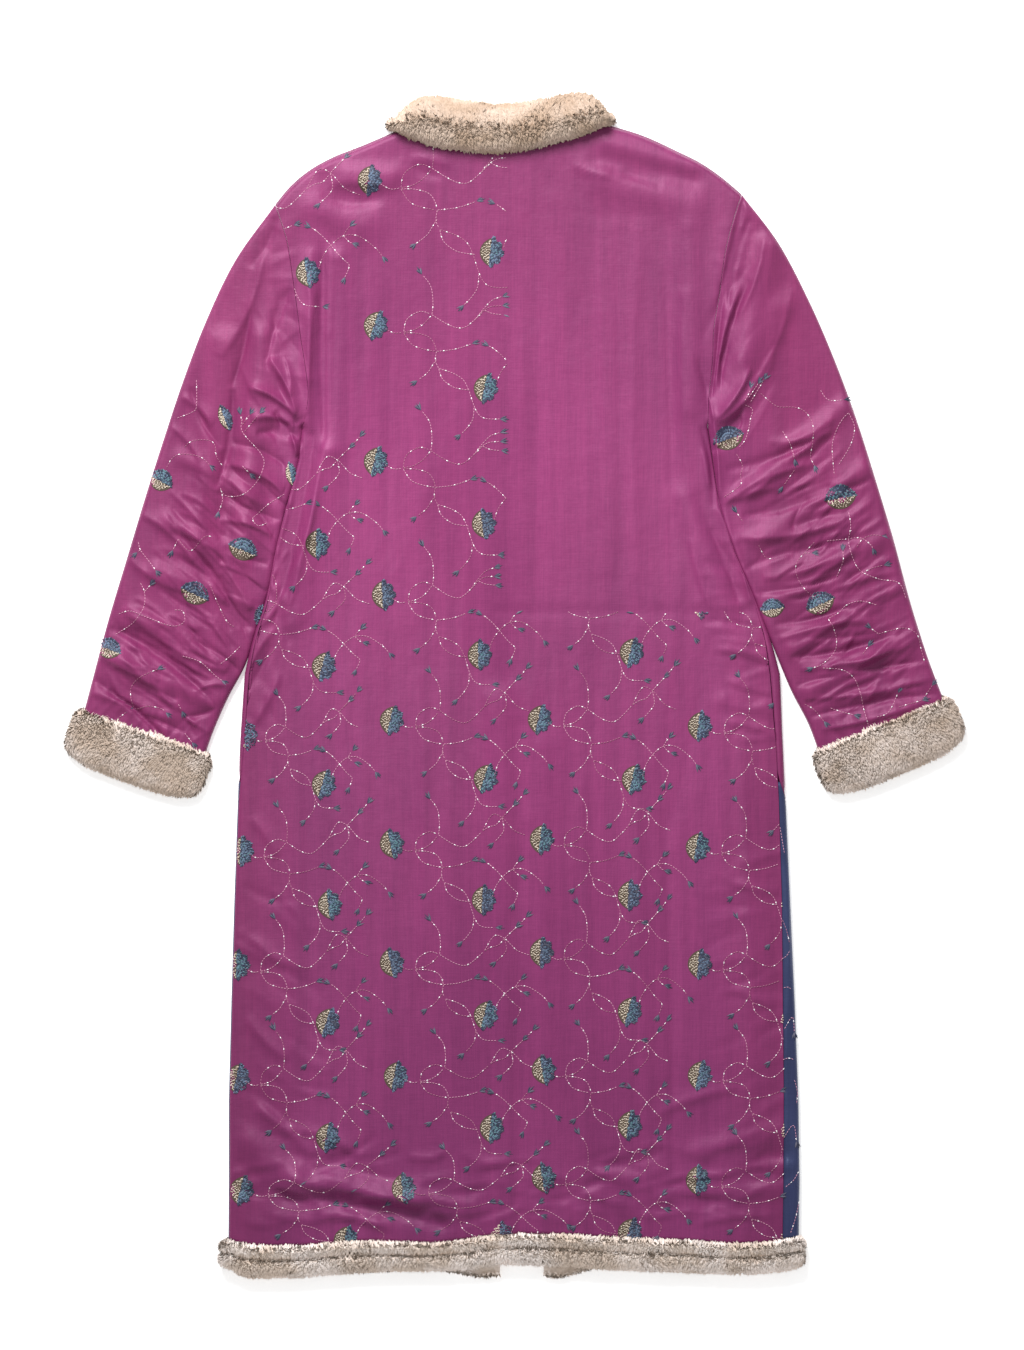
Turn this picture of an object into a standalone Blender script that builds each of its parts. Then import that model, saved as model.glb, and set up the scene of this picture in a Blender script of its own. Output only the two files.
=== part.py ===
"""A long silk coat with fur collar, cuffs and hem, laid face down on a floor.

The back is up and the two fronts lie under it. X runs to the right, Y from the hem
to the collar, and Z up from the floor. Every table is in millimetres.
"""

import math
from collections import namedtuple

import bmesh
import bpy
import numpy as np

METRES = 0.001
SEAM_GAP = 0.3
WALL = 4.0
FOLD_RADIUS = 5.5
COAT_HEIGHT = 11.0
HEM_RISE = 2.0
HEM_RISE_START = -400.0
HEM_RISE_LENGTH = 130.0
NECK_RISE = 2.0
NECK_RISE_REACH = 195.0
NECK_RISE_LENGTH = 150.0
SLEEVE_RISE = 2.0
SLEEVE_RISE_START = 270.0
SLEEVE_RISE_LENGTH = 100.0
NECK_CENTRE = (-8.5, 560.0)

# The body's width at each height, and how far each side seam lies inside the fold
Level = namedtuple("Level", "height left right seam_left seam_right")
BODY = (
    Level(-556, -284.5, 286.5, 1.0, 16.5),
    Level(-492, -284.0, 287.5, 1.0, 16.5),
    Level(-412, -284.0, 286.5, 1.0, 15.0),
    Level(-312, -281.5, 282.5, 1.0, 12.0),
    Level(-212, -278.5, 278.0, 1.0, 8.5),
    Level(-112, -275.0, 273.5, 1.0, 7.0),
    Level(-47, -272.5, 270.5, 5.0, 7.5),
    Level(13, -268.5, 268.0, 5.0, 10.0),
    Level(48, -261.0, 259.0, 4.0, 6.0),
    Level(88, -247.5, 244.5, 3.0, 3.0),
    Level(138, -238.0, 222.5, 2.0, 2.0),
    Level(188, -225.5, 206.5, 1.0, 1.0),
    Level(228, -214.5, 200.3, 0.0, 0.0),
    Level(262, -210.5, 195.5, 0.0, 0.0),
)
ARMPIT = BODY[-1].height

# Armholes run from the armpit up to the shoulder
Spot = namedtuple("Spot", "x y")
ARMHOLE_LEFT = (Spot(-210.5, 262), Spot(-204.5, 288), Spot(-207.5, 323), Spot(-211.5, 348),
                Spot(-215, 376), Spot(-219.5, 409), Spot(-226.5, 451), Spot(-237.5, 484))
ARMHOLE_RIGHT = (Spot(195.5, 262), Spot(196.2, 288), Spot(200, 326), Spot(201.9, 363),
                 Spot(206.5, 389), Spot(213.5, 439), Spot(222.5, 473), Spot(229.5, 494))
SHOULDER_LEFT = (Spot(-237.5, 484), Spot(-224.5, 500), Spot(-208.5, 514.5), Spot(-182.5, 530),
                 Spot(-152.5, 542), Spot(-118.5, 556.5))
SHOULDER_RIGHT = (Spot(95.5, 563.5), Spot(127.5, 554), Spot(167.5, 536), Spot(187.5, 526),
                  Spot(209.5, 511), Spot(229.5, 494))
BACK_NECK = (Spot(-118.5, 556.5), Spot(-95.5, 548.6), Spot(-76.5, 542.1), Spot(-36.5, 536.7),
             Spot(-12.5, 536.1), Spot(10.5, 538.9), Spot(34.5, 543.4), Spot(63.5, 551.4),
             Spot(95.5, 563.5))
FRONT_NECK_DEPTH = 56.0
FRONT_NECK_X = -8.5

# A sleeve's two folded edges at each section, from the armhole to the cuff
Section = namedtuple("Section", "outer_x outer_y inner_x inner_y")
SLEEVE_LEFT = (
    Section(-237.5, 484.0, -210.5, 262.0),
    Section(-277.5, 428.0, -217.3, 219.0),
    Section(-306.5, 368.0, -229.6, 179.1),
    Section(-329.5, 308.0, -239.0, 139.5),
    Section(-349.5, 248.0, -246.8, 100.4),
    Section(-368.5, 188.0, -257.9, 62.8),
    Section(-386.5, 128.0, -268.0, 24.2),
    Section(-404.5, 68.0, -285.3, -11.3),
    Section(-420.5, 8.0, -300.8, -47.1),
    Section(-428.9, -24.0, -307.8, -67.0),
)
SLEEVE_RIGHT = (
    Section(229.5, 494.0, 195.5, 262.0),
    Section(264.5, 448.0, 202.4, 226.1),
    Section(296.5, 388.0, 209.7, 183.8),
    Section(322.5, 328.0, 222.0, 144.5),
    Section(344.5, 268.0, 237.4, 107.8),
    Section(363.5, 208.0, 251.9, 70.9),
    Section(381.5, 148.0, 264.9, 33.9),
    Section(397.5, 88.0, 279.3, -3.5),
    Section(415.1, 32.0, 296.2, -36.1),
    Section(431.5, -12.0, 306.7, -64.0),
)

# The fur at the hem: the silk's edge above it and its own lower edge
TrimLine = namedtuple("TrimLine", "x silk_edge low")
HEM_TRIM = (
    TrimLine(-284.5, -552, -577),
    TrimLine(-268.5, -556, -587.5),
    TrimLine(-243.5, -558, -588),
    TrimLine(-203.5, -557, -586.5),
    TrimLine(-164.5, -553, -583),
    TrimLine(-132.5, -553, -581),
    TrimLine(-79.5, -555, -581),
    TrimLine(-45.5, -551, -580),
    TrimLine(-21.5, -547, -574.5),
    TrimLine(7.5, -545, -574.6),
    TrimLine(46.5, -546, -576.2),
    TrimLine(96.5, -549, -579.3),
    TrimLine(135.5, -551, -581),
    TrimLine(175.5, -552, -582.3),
    TrimLine(214.5, -555, -584),
    TrimLine(244.5, -555, -584),
    TrimLine(270.5, -552, -581),
    TrimLine(286.5, -550, -577),
)
FRONT_TRIM = (
    TrimLine(-290.0, -552, -576),
    TrimLine(-200.0, -557, -584),
    TrimLine(-80.0, -555, -579),
    TrimLine(-33.0, -549, -587),
    TrimLine(-12.0, -546, -586),
    TrimLine(30.0, -545.5, -586),
    TrimLine(48.0, -546, -587),
    TrimLine(85.0, -548.5, -578),
    TrimLine(200.0, -554, -581),
    TrimLine(290.0, -550, -575),
)
TRIM_JOIN_LEFT = -281.0
TRIM_JOIN_RIGHT = 265.5
TRIM_BULGE_LEFT = 9.0
TRIM_BULGE_RIGHT = 6.0
TRIM_CLEARANCE = 1.2

# The fur collar's back half, as its lower and upper edge at each place across
CollarLine = namedtuple("CollarLine", "x low high")
COLLAR = (
    CollarLine(-112.5, 555.5, 573.0),
    CollarLine(-95.5, 549.0, 585.5),
    CollarLine(-76.5, 542.4, 588.0),
    CollarLine(-60.5, 540.0, 585.5),
    CollarLine(-36.5, 537.0, 582.3),
    CollarLine(-12.5, 536.4, 580.0),
    CollarLine(10.5, 539.2, 582.3),
    CollarLine(34.5, 543.7, 586.3),
    CollarLine(50.5, 548.0, 590.2),
    CollarLine(63.5, 551.7, 591.8),
    CollarLine(79.5, 557.0, 588.7),
    CollarLine(90.5, 562.0, 579.0),
)
COLLAR_END_LEFT = Spot(-123.5, 562.0)
COLLAR_END_RIGHT = Spot(100.5, 567.0)
COLLAR_BAND = 40.0
COLLAR_CLEARANCE = 1.2
COLLAR_FRONT_START = 0.25
COLLAR_FRONT_DROP = 4.0

# Where the collar turns under at each end
COLLAR_TURN_ANGLES = (60, 20, -20, -60)
COLLAR_TURN_INSET = 6.0
COLLAR_TURN_SPREAD = 1.6
COLLAR_TURN_DROP = 3.0
COLLAR_TURN_WALL = 2.0
COLLAR_TURN_BULGE = 5.0
COLLAR_TURN_DEPTH = 12.0
COLLAR_TURN_TAPER = 4.0

# Heights of the fur above the floor, over and under the flat opening inside it
FUR_TOP = 20.0
COLLAR_TOP = 30.0
FUR_OPENING_TOP = 7.5
FUR_OPENING_FLOOR = 6.0
FUR_PRESS = 0.92

CUFF_BULGE = 8.5
CUFF_DEPTH = 47.0
CUFF_CORNER = 7.0
CUFF_WALL = 10.0
CUFF_SQUARENESS = 0.5
TRIM_FOLD_INSET = 3.0
TRIM_FOLD_OPENING = 0.5

# A fur band's section: share of its depth, and share of its thickness
Pile = namedtuple("Pile", "depth rise")
ROLL = (Pile(0, 0), Pile(0, 0.5), Pile(0.07, 0.82), Pile(0.25, 1), Pile(0.7, 1),
        Pile(0.92, 0.8), Pile(1, 0.5), Pile(1, 0))
TWO_ROLLS = (Pile(0, 0), Pile(0, 0.5), Pile(0.05, 0.75), Pile(0.18, 0.95), Pile(0.32, 0.85),
             Pile(0.42, 0.55), Pile(0.52, 0.85), Pile(0.7, 1), Pile(0.88, 0.85), Pile(0.98, 0.5),
             Pile(0.98, 0))
TURNED_ROLL = (Pile(0, 0), Pile(0, 0.42), Pile(0.05, 0.75), Pile(0.2, 0.97), Pile(0.5, 1),
               Pile(0.78, 0.82), Pile(0.94, 0.55), Pile(1, 0.3), Pile(0.99, 0))

# Each front's edge at the centre, and the two side gussets
FRONT_GAP_TOP = 3.0
FRONT_GAP_HEM = 44.0
FRONT_CENTRE_HEM = 9.3
FRONT_OPENS_BELOW = 200.0
GUSSET_TIP = -91.0
GUSSET_AT_FOLD = -112.0
GUSSET_UNDER_LEFT = 60.0
GUSSET_UNDER_RIGHT = 45.0
GUSSET_BLUNT = 3.0
GUSSET_START_WIDTH = 2.0
GUSSET_START_SHARE = 0.9
GUSSET_STEPS = (-18, -12, -6, 0, 6, 12)
GUSSET_JUST_UNDER = 8.0
GUSSET_ON_FOLD = 0.5

# Pocket slits lie in the side seams
Slit = namedtuple("Slit", "low high")
SLIT_LEFT = Slit(-17.0, 90.0)
SLIT_RIGHT = Slit(-47.0, 60.0)
SLIT_GAP = 2.8
SLIT_TAPER = 8.0
FACING_WIDTH = 13.0
FACING_THICK = 1.0
FACING_INSET = 9.5

# Soft ridges and troughs of the upper layer, each along a line
Fold = namedtuple("Fold", "x0 y0 x1 y1 width rise")
FOLDS = (
    # The back, from its left side to its right
    Fold(-190, 438, -194, 235, 7, -1.5),
    Fold(-196, 235, -232, 68, 7, -1.5),
    Fold(-178, 430, -183, 240, 13, 3.5),
    Fold(-184, 235, -218, 70, 13, 3.0),
    Fold(-212, 523, -167, 488, 9, -1.5),
    Fold(-167, 488, -137, 493, 9, -1.5),
    Fold(-165, 515, -120, 512, 11, 4.0),
    Fold(-200, 482, -150, 462, 16, 4.0),
    Fold(87, 528, 178, 508, 8, -1.5),
    Fold(95, 545, 180, 522, 9, 3.0),
    Fold(90, 506, 180, 484, 16, 3.5),
    Fold(176, 460, 180, 280, 12, 3.0),
    Fold(187, 188, 232, 78, 8, -1.5),
    Fold(172, 190, 212, 80, 13, 3.0),
    Fold(-12, 76, 252, 76, 6, -0.8),
    Fold(-15, -12, -5, -540, 16, 3.0),
    Fold(5, -40, 8, -545, 8, -1.2),
    Fold(30, -60, 25, -545, 15, 2.5),
    Fold(-262, -455, -215, -490, 13, 4.0),
    Fold(-215, -490, -100, -512, 13, 4.0),
    Fold(-272, -477, -227, -510, 7, -1.5),
    Fold(-227, -512, -72, -537, 7, -1.5),
    Fold(187, -462, 267, -442, 10, 3.0),
    Fold(190, -480, 270, -462, 7, -1.2),
    Fold(150, -508, 262, -502, 9, 2.5),
    Fold(215, 38, 250, 30, 8, 2.5),
    Fold(212, -12, 256, -22, 8, 2.5),
    # The left sleeve
    Fold(-267, 358, -290, 128, 8, -1.5),
    Fold(-250, 350, -268, 150, 15, 6.0),
    Fold(-292, 345, -315, 140, 15, 4.5),
    Fold(-330, 230, -262, 190, 9, 3.0),
    Fold(-345, 168, -270, 130, 9, 4.0),
    Fold(-355, 118, -264, 84, 9, 4.0),
    Fold(-375, 70, -285, 30, 9, 4.0),
    Fold(-392, 30, -300, -15, 9, 4.0),
    # The right sleeve
    Fold(240, 461, 211, 333, 8, -1.5),
    Fold(258, 440, 228, 330, 13, 5.0),
    Fold(264, 380, 214, 285, 13, 3.5),
    Fold(330, 280, 240, 200, 10, 4.0),
    Fold(350, 218, 245, 148, 10, 4.0),
    Fold(370, 150, 265, 90, 10, 4.0),
    Fold(385, 100, 280, 40, 9, 4.0),
    Fold(402, 56, 297, -2, 9, 4.0),
)

# How finely the surfaces are divided
ARMPIT_STEPS = (5, 16)
CROWD_AT_FOLD = 34.0
CROWD_REACH = 2.5
CROWD_SAMPLES = 400
CURVE_STEP = 0.01
TINY = 0.01
WELD = 1e-7
SHARP_ANGLE = 50
ROW_STEP = 38.0
ARMHOLE_SHARES = (0, 0.012, 0.04, 0.1, 0.2, 0.32, 0.44, 0.56, 0.68, 0.8, 0.9, 0.96, 0.988, 1)
EDGE_STEPS = (0, 1.2, 3.2, 7.0, 16.0)
BACK_COLUMNS = 17
FRONT_COLUMNS = 13
GUSSET_COLUMNS = 7
SLEEVE_ROWS = 21
CUFF_STEPS = 28
COLLAR_FRONT_STEPS = 8
FOLD_STEPS = 6
TRIM_STEP = 24.0
ARMPIT_SHARE = 0.78

MAGENTA_SILK = ((0.38, 0.075, 0.215, 1), 0.42)
NAVY_SILK = ((0.035, 0.05, 0.13, 1), 0.4)
CREAM_FUR = ((0.66, 0.55, 0.38, 1), 0.9)


def clear_scene():
    for item in list(bpy.data.objects):
        bpy.data.objects.remove(item, do_unlink=True)


def part_collection():
    collection = bpy.data.collections.new("silk_coat")
    bpy.context.scene.collection.children.link(collection)
    return collection


def finish_material(name, finish):
    colour, roughness = finish
    material = bpy.data.materials.new(name)
    material.use_nodes = True
    shader = material.node_tree.nodes["Principled BSDF"]
    shader.inputs["Base Color"].default_value = colour
    shader.inputs["Roughness"].default_value = roughness
    shader.inputs["Metallic"].default_value = 0.0
    material.diffuse_color = colour
    return material


def clamp(value, low=0.0, high=1.0):
    return max(low, min(high, value))


def ease(value):
    value = clamp(value)
    return value * value * (3 - 2 * value)


def curve_through(points):
    """A smooth curve through the points, as a function of 0 to 1."""
    points = np.array(points, float)
    lengths = np.linalg.norm(np.diff(points, axis=0), axis=1)
    knots = np.concatenate(([0.0], np.cumsum(lengths)))
    slopes = np.gradient(points, knots, axis=0)

    def at(share):
        place = clamp(share) * knots[-1]
        index = int(clamp(np.searchsorted(knots, place) - 1, 0, len(knots) - 2))
        span = knots[index + 1] - knots[index]
        t = (place - knots[index]) / span
        start = (2 * t ** 3 - 3 * t ** 2 + 1) * points[index]
        start = start + (t ** 3 - 2 * t ** 2 + t) * span * slopes[index]
        end = (3 * t ** 2 - 2 * t ** 3) * points[index + 1]
        end = end + (t ** 3 - t ** 2) * span * slopes[index + 1]
        return start + end

    return at


def column(table, key, value):
    """One column of a table, read between its rows by another column."""
    places = [getattr(row, key[0]) for row in table]
    values = [getattr(row, key[1]) for row in table]
    return float(np.interp(value, places, values))


def side_x(height, side):
    return column(BODY, ("height", side), height)


def seam_inset(height, side):
    return column(BODY, ("height", "seam_" + side), height)


def fold_rise(x, y):
    """How much the folds lift or lower the upper layer here."""
    total = 0.0
    for fold in FOLDS:
        along = np.array((fold.x1 - fold.x0, fold.y1 - fold.y0))
        away = np.array((x - fold.x0, y - fold.y0))
        share = clamp(float(away @ along) / float(along @ along))
        distance = float(np.linalg.norm(away - share * along))
        total += fold.rise * math.exp(-(distance / fold.width) ** 2)
    return total


def top_height(x, y):
    height = COAT_HEIGHT
    height += HEM_RISE * ease((HEM_RISE_START - y) / HEM_RISE_LENGTH)
    from_neck = math.hypot(x - NECK_CENTRE[0], y - NECK_CENTRE[1])
    height += NECK_RISE * ease((NECK_RISE_REACH - from_neck) / NECK_RISE_LENGTH)
    height += SLEEVE_RISE * ease((abs(x) - SLEEVE_RISE_START) / SLEEVE_RISE_LENGTH)
    return height + fold_rise(x, y)


def polyline(curve, count=48):
    return np.array([curve(index / count) for index in range(count + 1)])


def nearest_fold(point, folded):
    """The distance to the nearest folded edge, and the way into the cloth from it.

    Each folded edge runs so that the cloth lies on its right hand side.
    """
    best = (math.inf, np.array((0.0, 1.0)))
    for line in folded:
        along = np.diff(line, axis=0)
        away = point - line[:-1]
        share = np.clip((away * along).sum(axis=1) / (along * along).sum(axis=1), 0, 1)
        offsets = away - share[:, None] * along
        distances = np.linalg.norm(offsets, axis=1)
        index = int(distances.argmin())
        if distances[index] < best[0]:
            inward = np.array((along[index][1], -along[index][0]))
            inward = inward / np.linalg.norm(inward)
            if distances[index] > 0.4:
                inward = offsets[index] / distances[index]
            best = (float(distances[index]), inward)
    return best


def wall_points(point, distance, inward, above):
    """The outer and inner face of the wall at a place on the plan, and its slope."""
    turn = 1 - clamp(distance / FOLD_RADIUS)
    flat = math.sqrt(1 - turn * turn)
    top = top_height(point[0], point[1])
    middle = top / 2
    way = 1 if above else -1
    reach = top - middle if above else middle
    outer = np.array((point[0], point[1], middle + way * reach * flat))
    inner = np.array((point[0] + inward[0] * WALL * turn,
                      point[1] + inward[1] * WALL * turn,
                      middle + way * (reach - WALL) * flat))
    slope = np.array((inward[0] * flat, inward[1] * flat, way * turn))
    return outer, inner, slope


def patch(bottom, top, left, right):
    """A surface over four joined edges, each a function of 0 to 1."""
    corners = (left(0), right(0), left(1), right(1))

    def at(u, v):
        sides = (1 - u) * left(v) + u * right(v)
        ends = (1 - v) * bottom(u) + v * top(u)
        shared = (1 - v) * ((1 - u) * corners[0] + u * corners[1])
        shared = shared + v * ((1 - u) * corners[2] + u * corners[3])
        return sides + ends - shared

    return at


def lay_grid(bm, rows):
    """A grid whose points lie where the rows say."""
    count = len(rows[0])
    made = bmesh.ops.create_grid(bm, x_segments=count - 1, y_segments=len(rows) - 1, size=1)
    for index, vertex in enumerate(made["verts"]):
        vertex.co = rows[index // count][index % count] * METRES
    return [made["verts"][start:start + count] for start in range(0, len(made["verts"]), count)]


def join_rims(bm, first, second):
    for index in range(len(first) - 1):
        bm.faces.new((first[index], first[index + 1], second[index + 1], second[index]))


def finish_object(bm, name, finish, collection):
    bmesh.ops.remove_doubles(bm, verts=bm.verts, dist=WELD)
    bmesh.ops.recalc_face_normals(bm, faces=bm.faces)
    mesh = bpy.data.meshes.new(name)
    bm.to_mesh(mesh)
    bm.free()
    mesh.materials.append(finish_material(name, finish))
    mesh.shade_smooth()
    mesh.set_sharp_from_angle(angle=math.radians(SHARP_ANGLE))
    item = bpy.data.objects.new(name, mesh)
    collection.objects.link(item)
    return item


def cloth_wall(name, outer_rows, inner_rows, ring, finish, collection):
    """A wall of cloth between two grids, open at its ends or closed round as a ring."""
    bm = bmesh.new()
    outer = lay_grid(bm, outer_rows)
    inner = lay_grid(bm, inner_rows)
    join_rims(bm, outer[0], inner[0])
    join_rims(bm, outer[-1], inner[-1])
    if not ring:
        join_rims(bm, [row[0] for row in outer], [row[0] for row in inner])
        join_rims(bm, [row[-1] for row in outer], [row[-1] for row in inner])
    return finish_object(bm, name, finish, collection)


def fur_band(name, stations, section, ring, finish, collection):
    """Fur swept along its stations, each with its inner and outer point and its depth."""
    rows = []
    for inner, outer, across, press in stations:
        row = []
        for pile in section:
            rise = pile.rise
            if rise > 0:
                rise = rise + (1 - rise) * press
            row.append(inner + (outer - inner) * rise + across * pile.depth)
        row.append(row[0])
        rows.append(row)
    if ring:
        rows.append(rows[0])
    bm = bmesh.new()
    lay_grid(bm, rows)
    bmesh.ops.remove_doubles(bm, verts=bm.verts, dist=WELD)
    if not ring:
        bmesh.ops.holes_fill(bm, edges=[edge for edge in bm.edges if edge.is_boundary])
    return finish_object(bm, name, finish, collection)


def hem_height(x):
    return column(HEM_TRIM, ("x", "silk_edge"), x)


def armhole(side):
    return curve_through(ARMHOLE_LEFT if side == "left" else ARMHOLE_RIGHT)


def row_heights():
    """Heights of the body's rows, with one at each place where a seam changes."""
    keys = {ARMPIT, GUSSET_TIP, GUSSET_TIP - GUSSET_BLUNT}
    keys.update(ARMPIT - step for step in ARMPIT_STEPS)
    keys.update(GUSSET_AT_FOLD + step for step in GUSSET_STEPS)
    for slit in (SLIT_LEFT, SLIT_RIGHT):
        keys.update((slit.low, slit.low + SLIT_TAPER, slit.high - SLIT_TAPER, slit.high))
    keys = [hem_height(BODY[0].left)] + sorted(keys)
    heights = []
    for low, high in zip(keys, keys[1:]):
        count = max(1, math.ceil((high - low) / ROW_STEP))
        heights += [low + (high - low) * index / count for index in range(count)]
    return heights + [ARMPIT]


def body_rows():
    """Each row as its share of the way up, with its height or its place on the armhole."""
    heights = row_heights()
    low = heights[0]
    rows = [(ARMPIT_SHARE * (y - low) / (ARMPIT - low), y, None) for y in heights]
    for share in ARMHOLE_SHARES[1:]:
        rows.append((ARMPIT_SHARE + (1 - ARMPIT_SHARE) * share, None, share))
    return rows


def side_edge(side):
    """The body's folded side up to the armpit, then its armhole, as a function of 0 to 1."""
    heights = row_heights()
    upper = armhole(side)

    def at(v):
        if v > ARMPIT_SHARE:
            return upper((v - ARMPIT_SHARE) / (1 - ARMPIT_SHARE))
        height = heights[0] + (ARMPIT - heights[0]) * v / ARMPIT_SHARE
        if v == 0:
            height = hem_height(side_x(height, side))
        return np.array((side_x(height, side), height))

    return at


def seam_edge(side):
    """The back's side seam and armhole, as a function of 0 to 1."""
    edge = side_edge(side)
    way = 1 if side == "left" else -1

    def at(v):
        point = edge(v)
        if v >= ARMPIT_SHARE:
            return point
        x = point[0] + way * seam_inset(point[1], side)
        if v == 0:
            return np.array((x, hem_height(x)))
        return np.array((x, point[1]))

    return at


def hem_between(start, end):
    def at(u):
        x = start[0] + (end[0] - start[0]) * u
        return np.array((x, hem_height(x)))

    return at


def join_curves(curves):
    """Several curves end to end, spaced by their lengths, as a function of 0 to 1."""
    points = np.vstack([polyline(curve, 16) for curve in curves])
    steps = np.linalg.norm(np.diff(points, axis=0), axis=1)
    places = np.concatenate(([0.0], np.cumsum(steps)))

    def at(u):
        place = u * places[-1]
        return np.array((np.interp(place, places, points[:, 0]),
                         np.interp(place, places, points[:, 1])))

    return at


def front_neck(side):
    """A front's neckline from the shoulder to the centre."""
    start = SHOULDER_LEFT[-1] if side == "left" else SHOULDER_RIGHT[0]
    end_x = FRONT_NECK_X + (-1 if side == "left" else 1) * FRONT_GAP_TOP / 2
    low = BACK_NECK[4].y - FRONT_NECK_DEPTH

    def at(u):
        x = start.x + (end_x - start.x) * math.sin(u * math.pi / 2)
        share = (x - end_x) / (start.x - end_x)
        return np.array((x, low + (start.y - low) * share * share))

    return at


def centre_front(side):
    """A front's edge at the centre, from the hem up to the neckline."""
    way = -1 if side == "left" else 1
    top = front_neck(side)(1)
    hem_x = FRONT_CENTRE_HEM + way * FRONT_GAP_HEM / 2
    hem_y = hem_height(hem_x)
    chest_x = FRONT_NECK_X + way * FRONT_GAP_TOP / 2

    def at(v):
        y = hem_y + (top[1] - hem_y) * v
        share = clamp((FRONT_OPENS_BELOW - y) / (FRONT_OPENS_BELOW - hem_y))
        return np.array((chest_x + (hem_x - chest_x) * share, y))

    return at


def body_folds():
    """The body's folded edges: both sides below the armpits, and both shoulders."""
    left = side_edge("left")
    right = side_edge("right")
    sides = [polyline(lambda t: left(t * ARMPIT_SHARE)),
             polyline(lambda t: right((1 - t) * ARMPIT_SHARE))]
    shoulders = [polyline(curve_through(SHOULDER_LEFT)), polyline(curve_through(SHOULDER_RIGHT))]
    return sides + shoulders


def armhole_rim(side, share, above, into_body):
    """The wall at a place on the armhole, moved off the seam into the body or the sleeve."""
    curve = armhole(side)
    point = curve(share)
    ends = (curve(0), curve(1))
    nearer = 0 if np.linalg.norm(point - ends[0]) < np.linalg.norm(point - ends[1]) else 1
    offset = point - ends[nearer]
    distance = float(np.linalg.norm(offset))
    if distance < TINY:
        offset = curve(CURVE_STEP) - ends[0] if nearer == 0 else curve(1 - CURVE_STEP) - ends[1]
    inward = offset / np.linalg.norm(offset)
    outer, inner, _ = wall_points(point, distance, inward, above)
    ahead = curve(min(1, share + CURVE_STEP)) - curve(max(0, share - CURVE_STEP))
    across = np.array((ahead[1], -ahead[0], 0)) / np.linalg.norm(ahead)
    way = (1 if side == "left" else -1) * (1 if into_body else -1)
    shift = across * way * SEAM_GAP / 2
    if distance < FOLD_RADIUS and into_body:
        lift = (1 - distance / FOLD_RADIUS) * SEAM_GAP / 2
        shift = shift + np.array((0, 0, lift if above else -lift))
    return outer + shift, inner + shift


def slit_share(y, slit):
    return clamp((y - slit.low) / SLIT_TAPER) * clamp((slit.high - y) / SLIT_TAPER)


def seam_rim(side, height, inset, into_back):
    """The wall at the side seam, moved off it towards the back or towards the front."""
    way = 1 if side == "left" else -1
    edge_x = side_x(height, side)
    x = edge_x + way * abs(inset)
    y = hem_height(x) if height == row_heights()[0] else height
    point = np.array((x, y))
    above = inset >= 0
    inward = np.array((float(way), 0.0))
    outer, inner, slope = wall_points(point, abs(inset), inward, above)
    if not above:
        slope = -slope
    at_back = abs(inset - seam_inset(height, side)) < 0.01
    gap = SEAM_GAP / 2 if at_back else SEAM_GAP
    if into_back:
        slit = SLIT_LEFT if side == "left" else SLIT_RIGHT
        gap += (SLIT_GAP - SEAM_GAP) * slit_share(height, slit)
    shift = slope * gap * (1 if into_back else -1)
    return outer + shift, inner + shift


def back_columns():
    """Shares across the back, closer together beside the two side seams."""
    width = BODY[0].right - BODY[0].left
    start = [step / width for step in EDGE_STEPS]
    inner = np.linspace(start[-1], 1 - start[-1], BACK_COLUMNS)
    return start[:-1] + list(inner) + [1 - share for share in reversed(start[:-1])]


def make_back(collection):
    left = seam_edge("left")
    right = seam_edge("right")
    top = join_curves((curve_through(SHOULDER_LEFT), curve_through(BACK_NECK),
                       curve_through(SHOULDER_RIGHT)))
    plan = patch(hem_between(left(0), right(0)), top, left, right)
    folds = body_folds()
    columns = back_columns()
    neck = (SHOULDER_LEFT[-1].x, SHOULDER_RIGHT[0].x)
    outer_rows = []
    inner_rows = []
    for v, height, share in body_rows():
        outer_row = []
        inner_row = []
        for u in columns:
            side = "left" if u == 0 else "right"
            if u in (0, 1) and height is not None and height < ARMPIT:
                pair = seam_rim(side, height, seam_inset(height, side), True)
            elif u in (0, 1):
                pair = armhole_rim(side, share or 0, True, True)
            else:
                point = plan(u, v)
                distance, inward = nearest_fold(point, folds)
                outer, inner, _ = wall_points(point, distance, inward, True)
                at_shoulder = v == 1 and not neck[0] < point[0] < neck[1]
                lift = np.array((0, 0, SEAM_GAP / 2 if at_shoulder else 0))
                pair = (outer + lift, inner + lift)
            outer_row.append(pair[0])
            inner_row.append(pair[1])
        outer_rows.append(outer_row)
        inner_rows.append(inner_row)
    return cloth_wall("back", outer_rows, inner_rows, False, MAGENTA_SILK, collection)


def front_seam(height, side):
    """Where a front ends: above the fold if positive, on the underside if negative."""
    inset = seam_inset(height, side)
    if height >= GUSSET_TIP:
        return inset
    under = GUSSET_UNDER_LEFT if side == "left" else GUSSET_UNDER_RIGHT
    tip = GUSSET_TIP - GUSSET_BLUNT
    inset_at_tip = seam_inset(tip, side)
    start = min(inset_at_tip - GUSSET_START_WIDTH, GUSSET_START_SHARE * inset_at_tip)
    places = (BODY[0].height, GUSSET_AT_FOLD + GUSSET_STEPS[0], GUSSET_AT_FOLD, tip, GUSSET_TIP)
    rims = (-under, -GUSSET_JUST_UNDER, -GUSSET_ON_FOLD, start, seam_inset(GUSSET_TIP, side))
    return float(np.interp(height, places, rims))


def spread(start, end, count):
    """Places from start to end, closer together near the fold at 0."""
    places = np.linspace(start, end, CROWD_SAMPLES)
    crowd = CROWD_AT_FOLD * (1 - np.exp(-np.abs(places) / CROWD_REACH))
    weight = places + crowd * np.sign(places)
    return np.interp(np.linspace(weight[0], weight[-1], count), weight, places)


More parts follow.
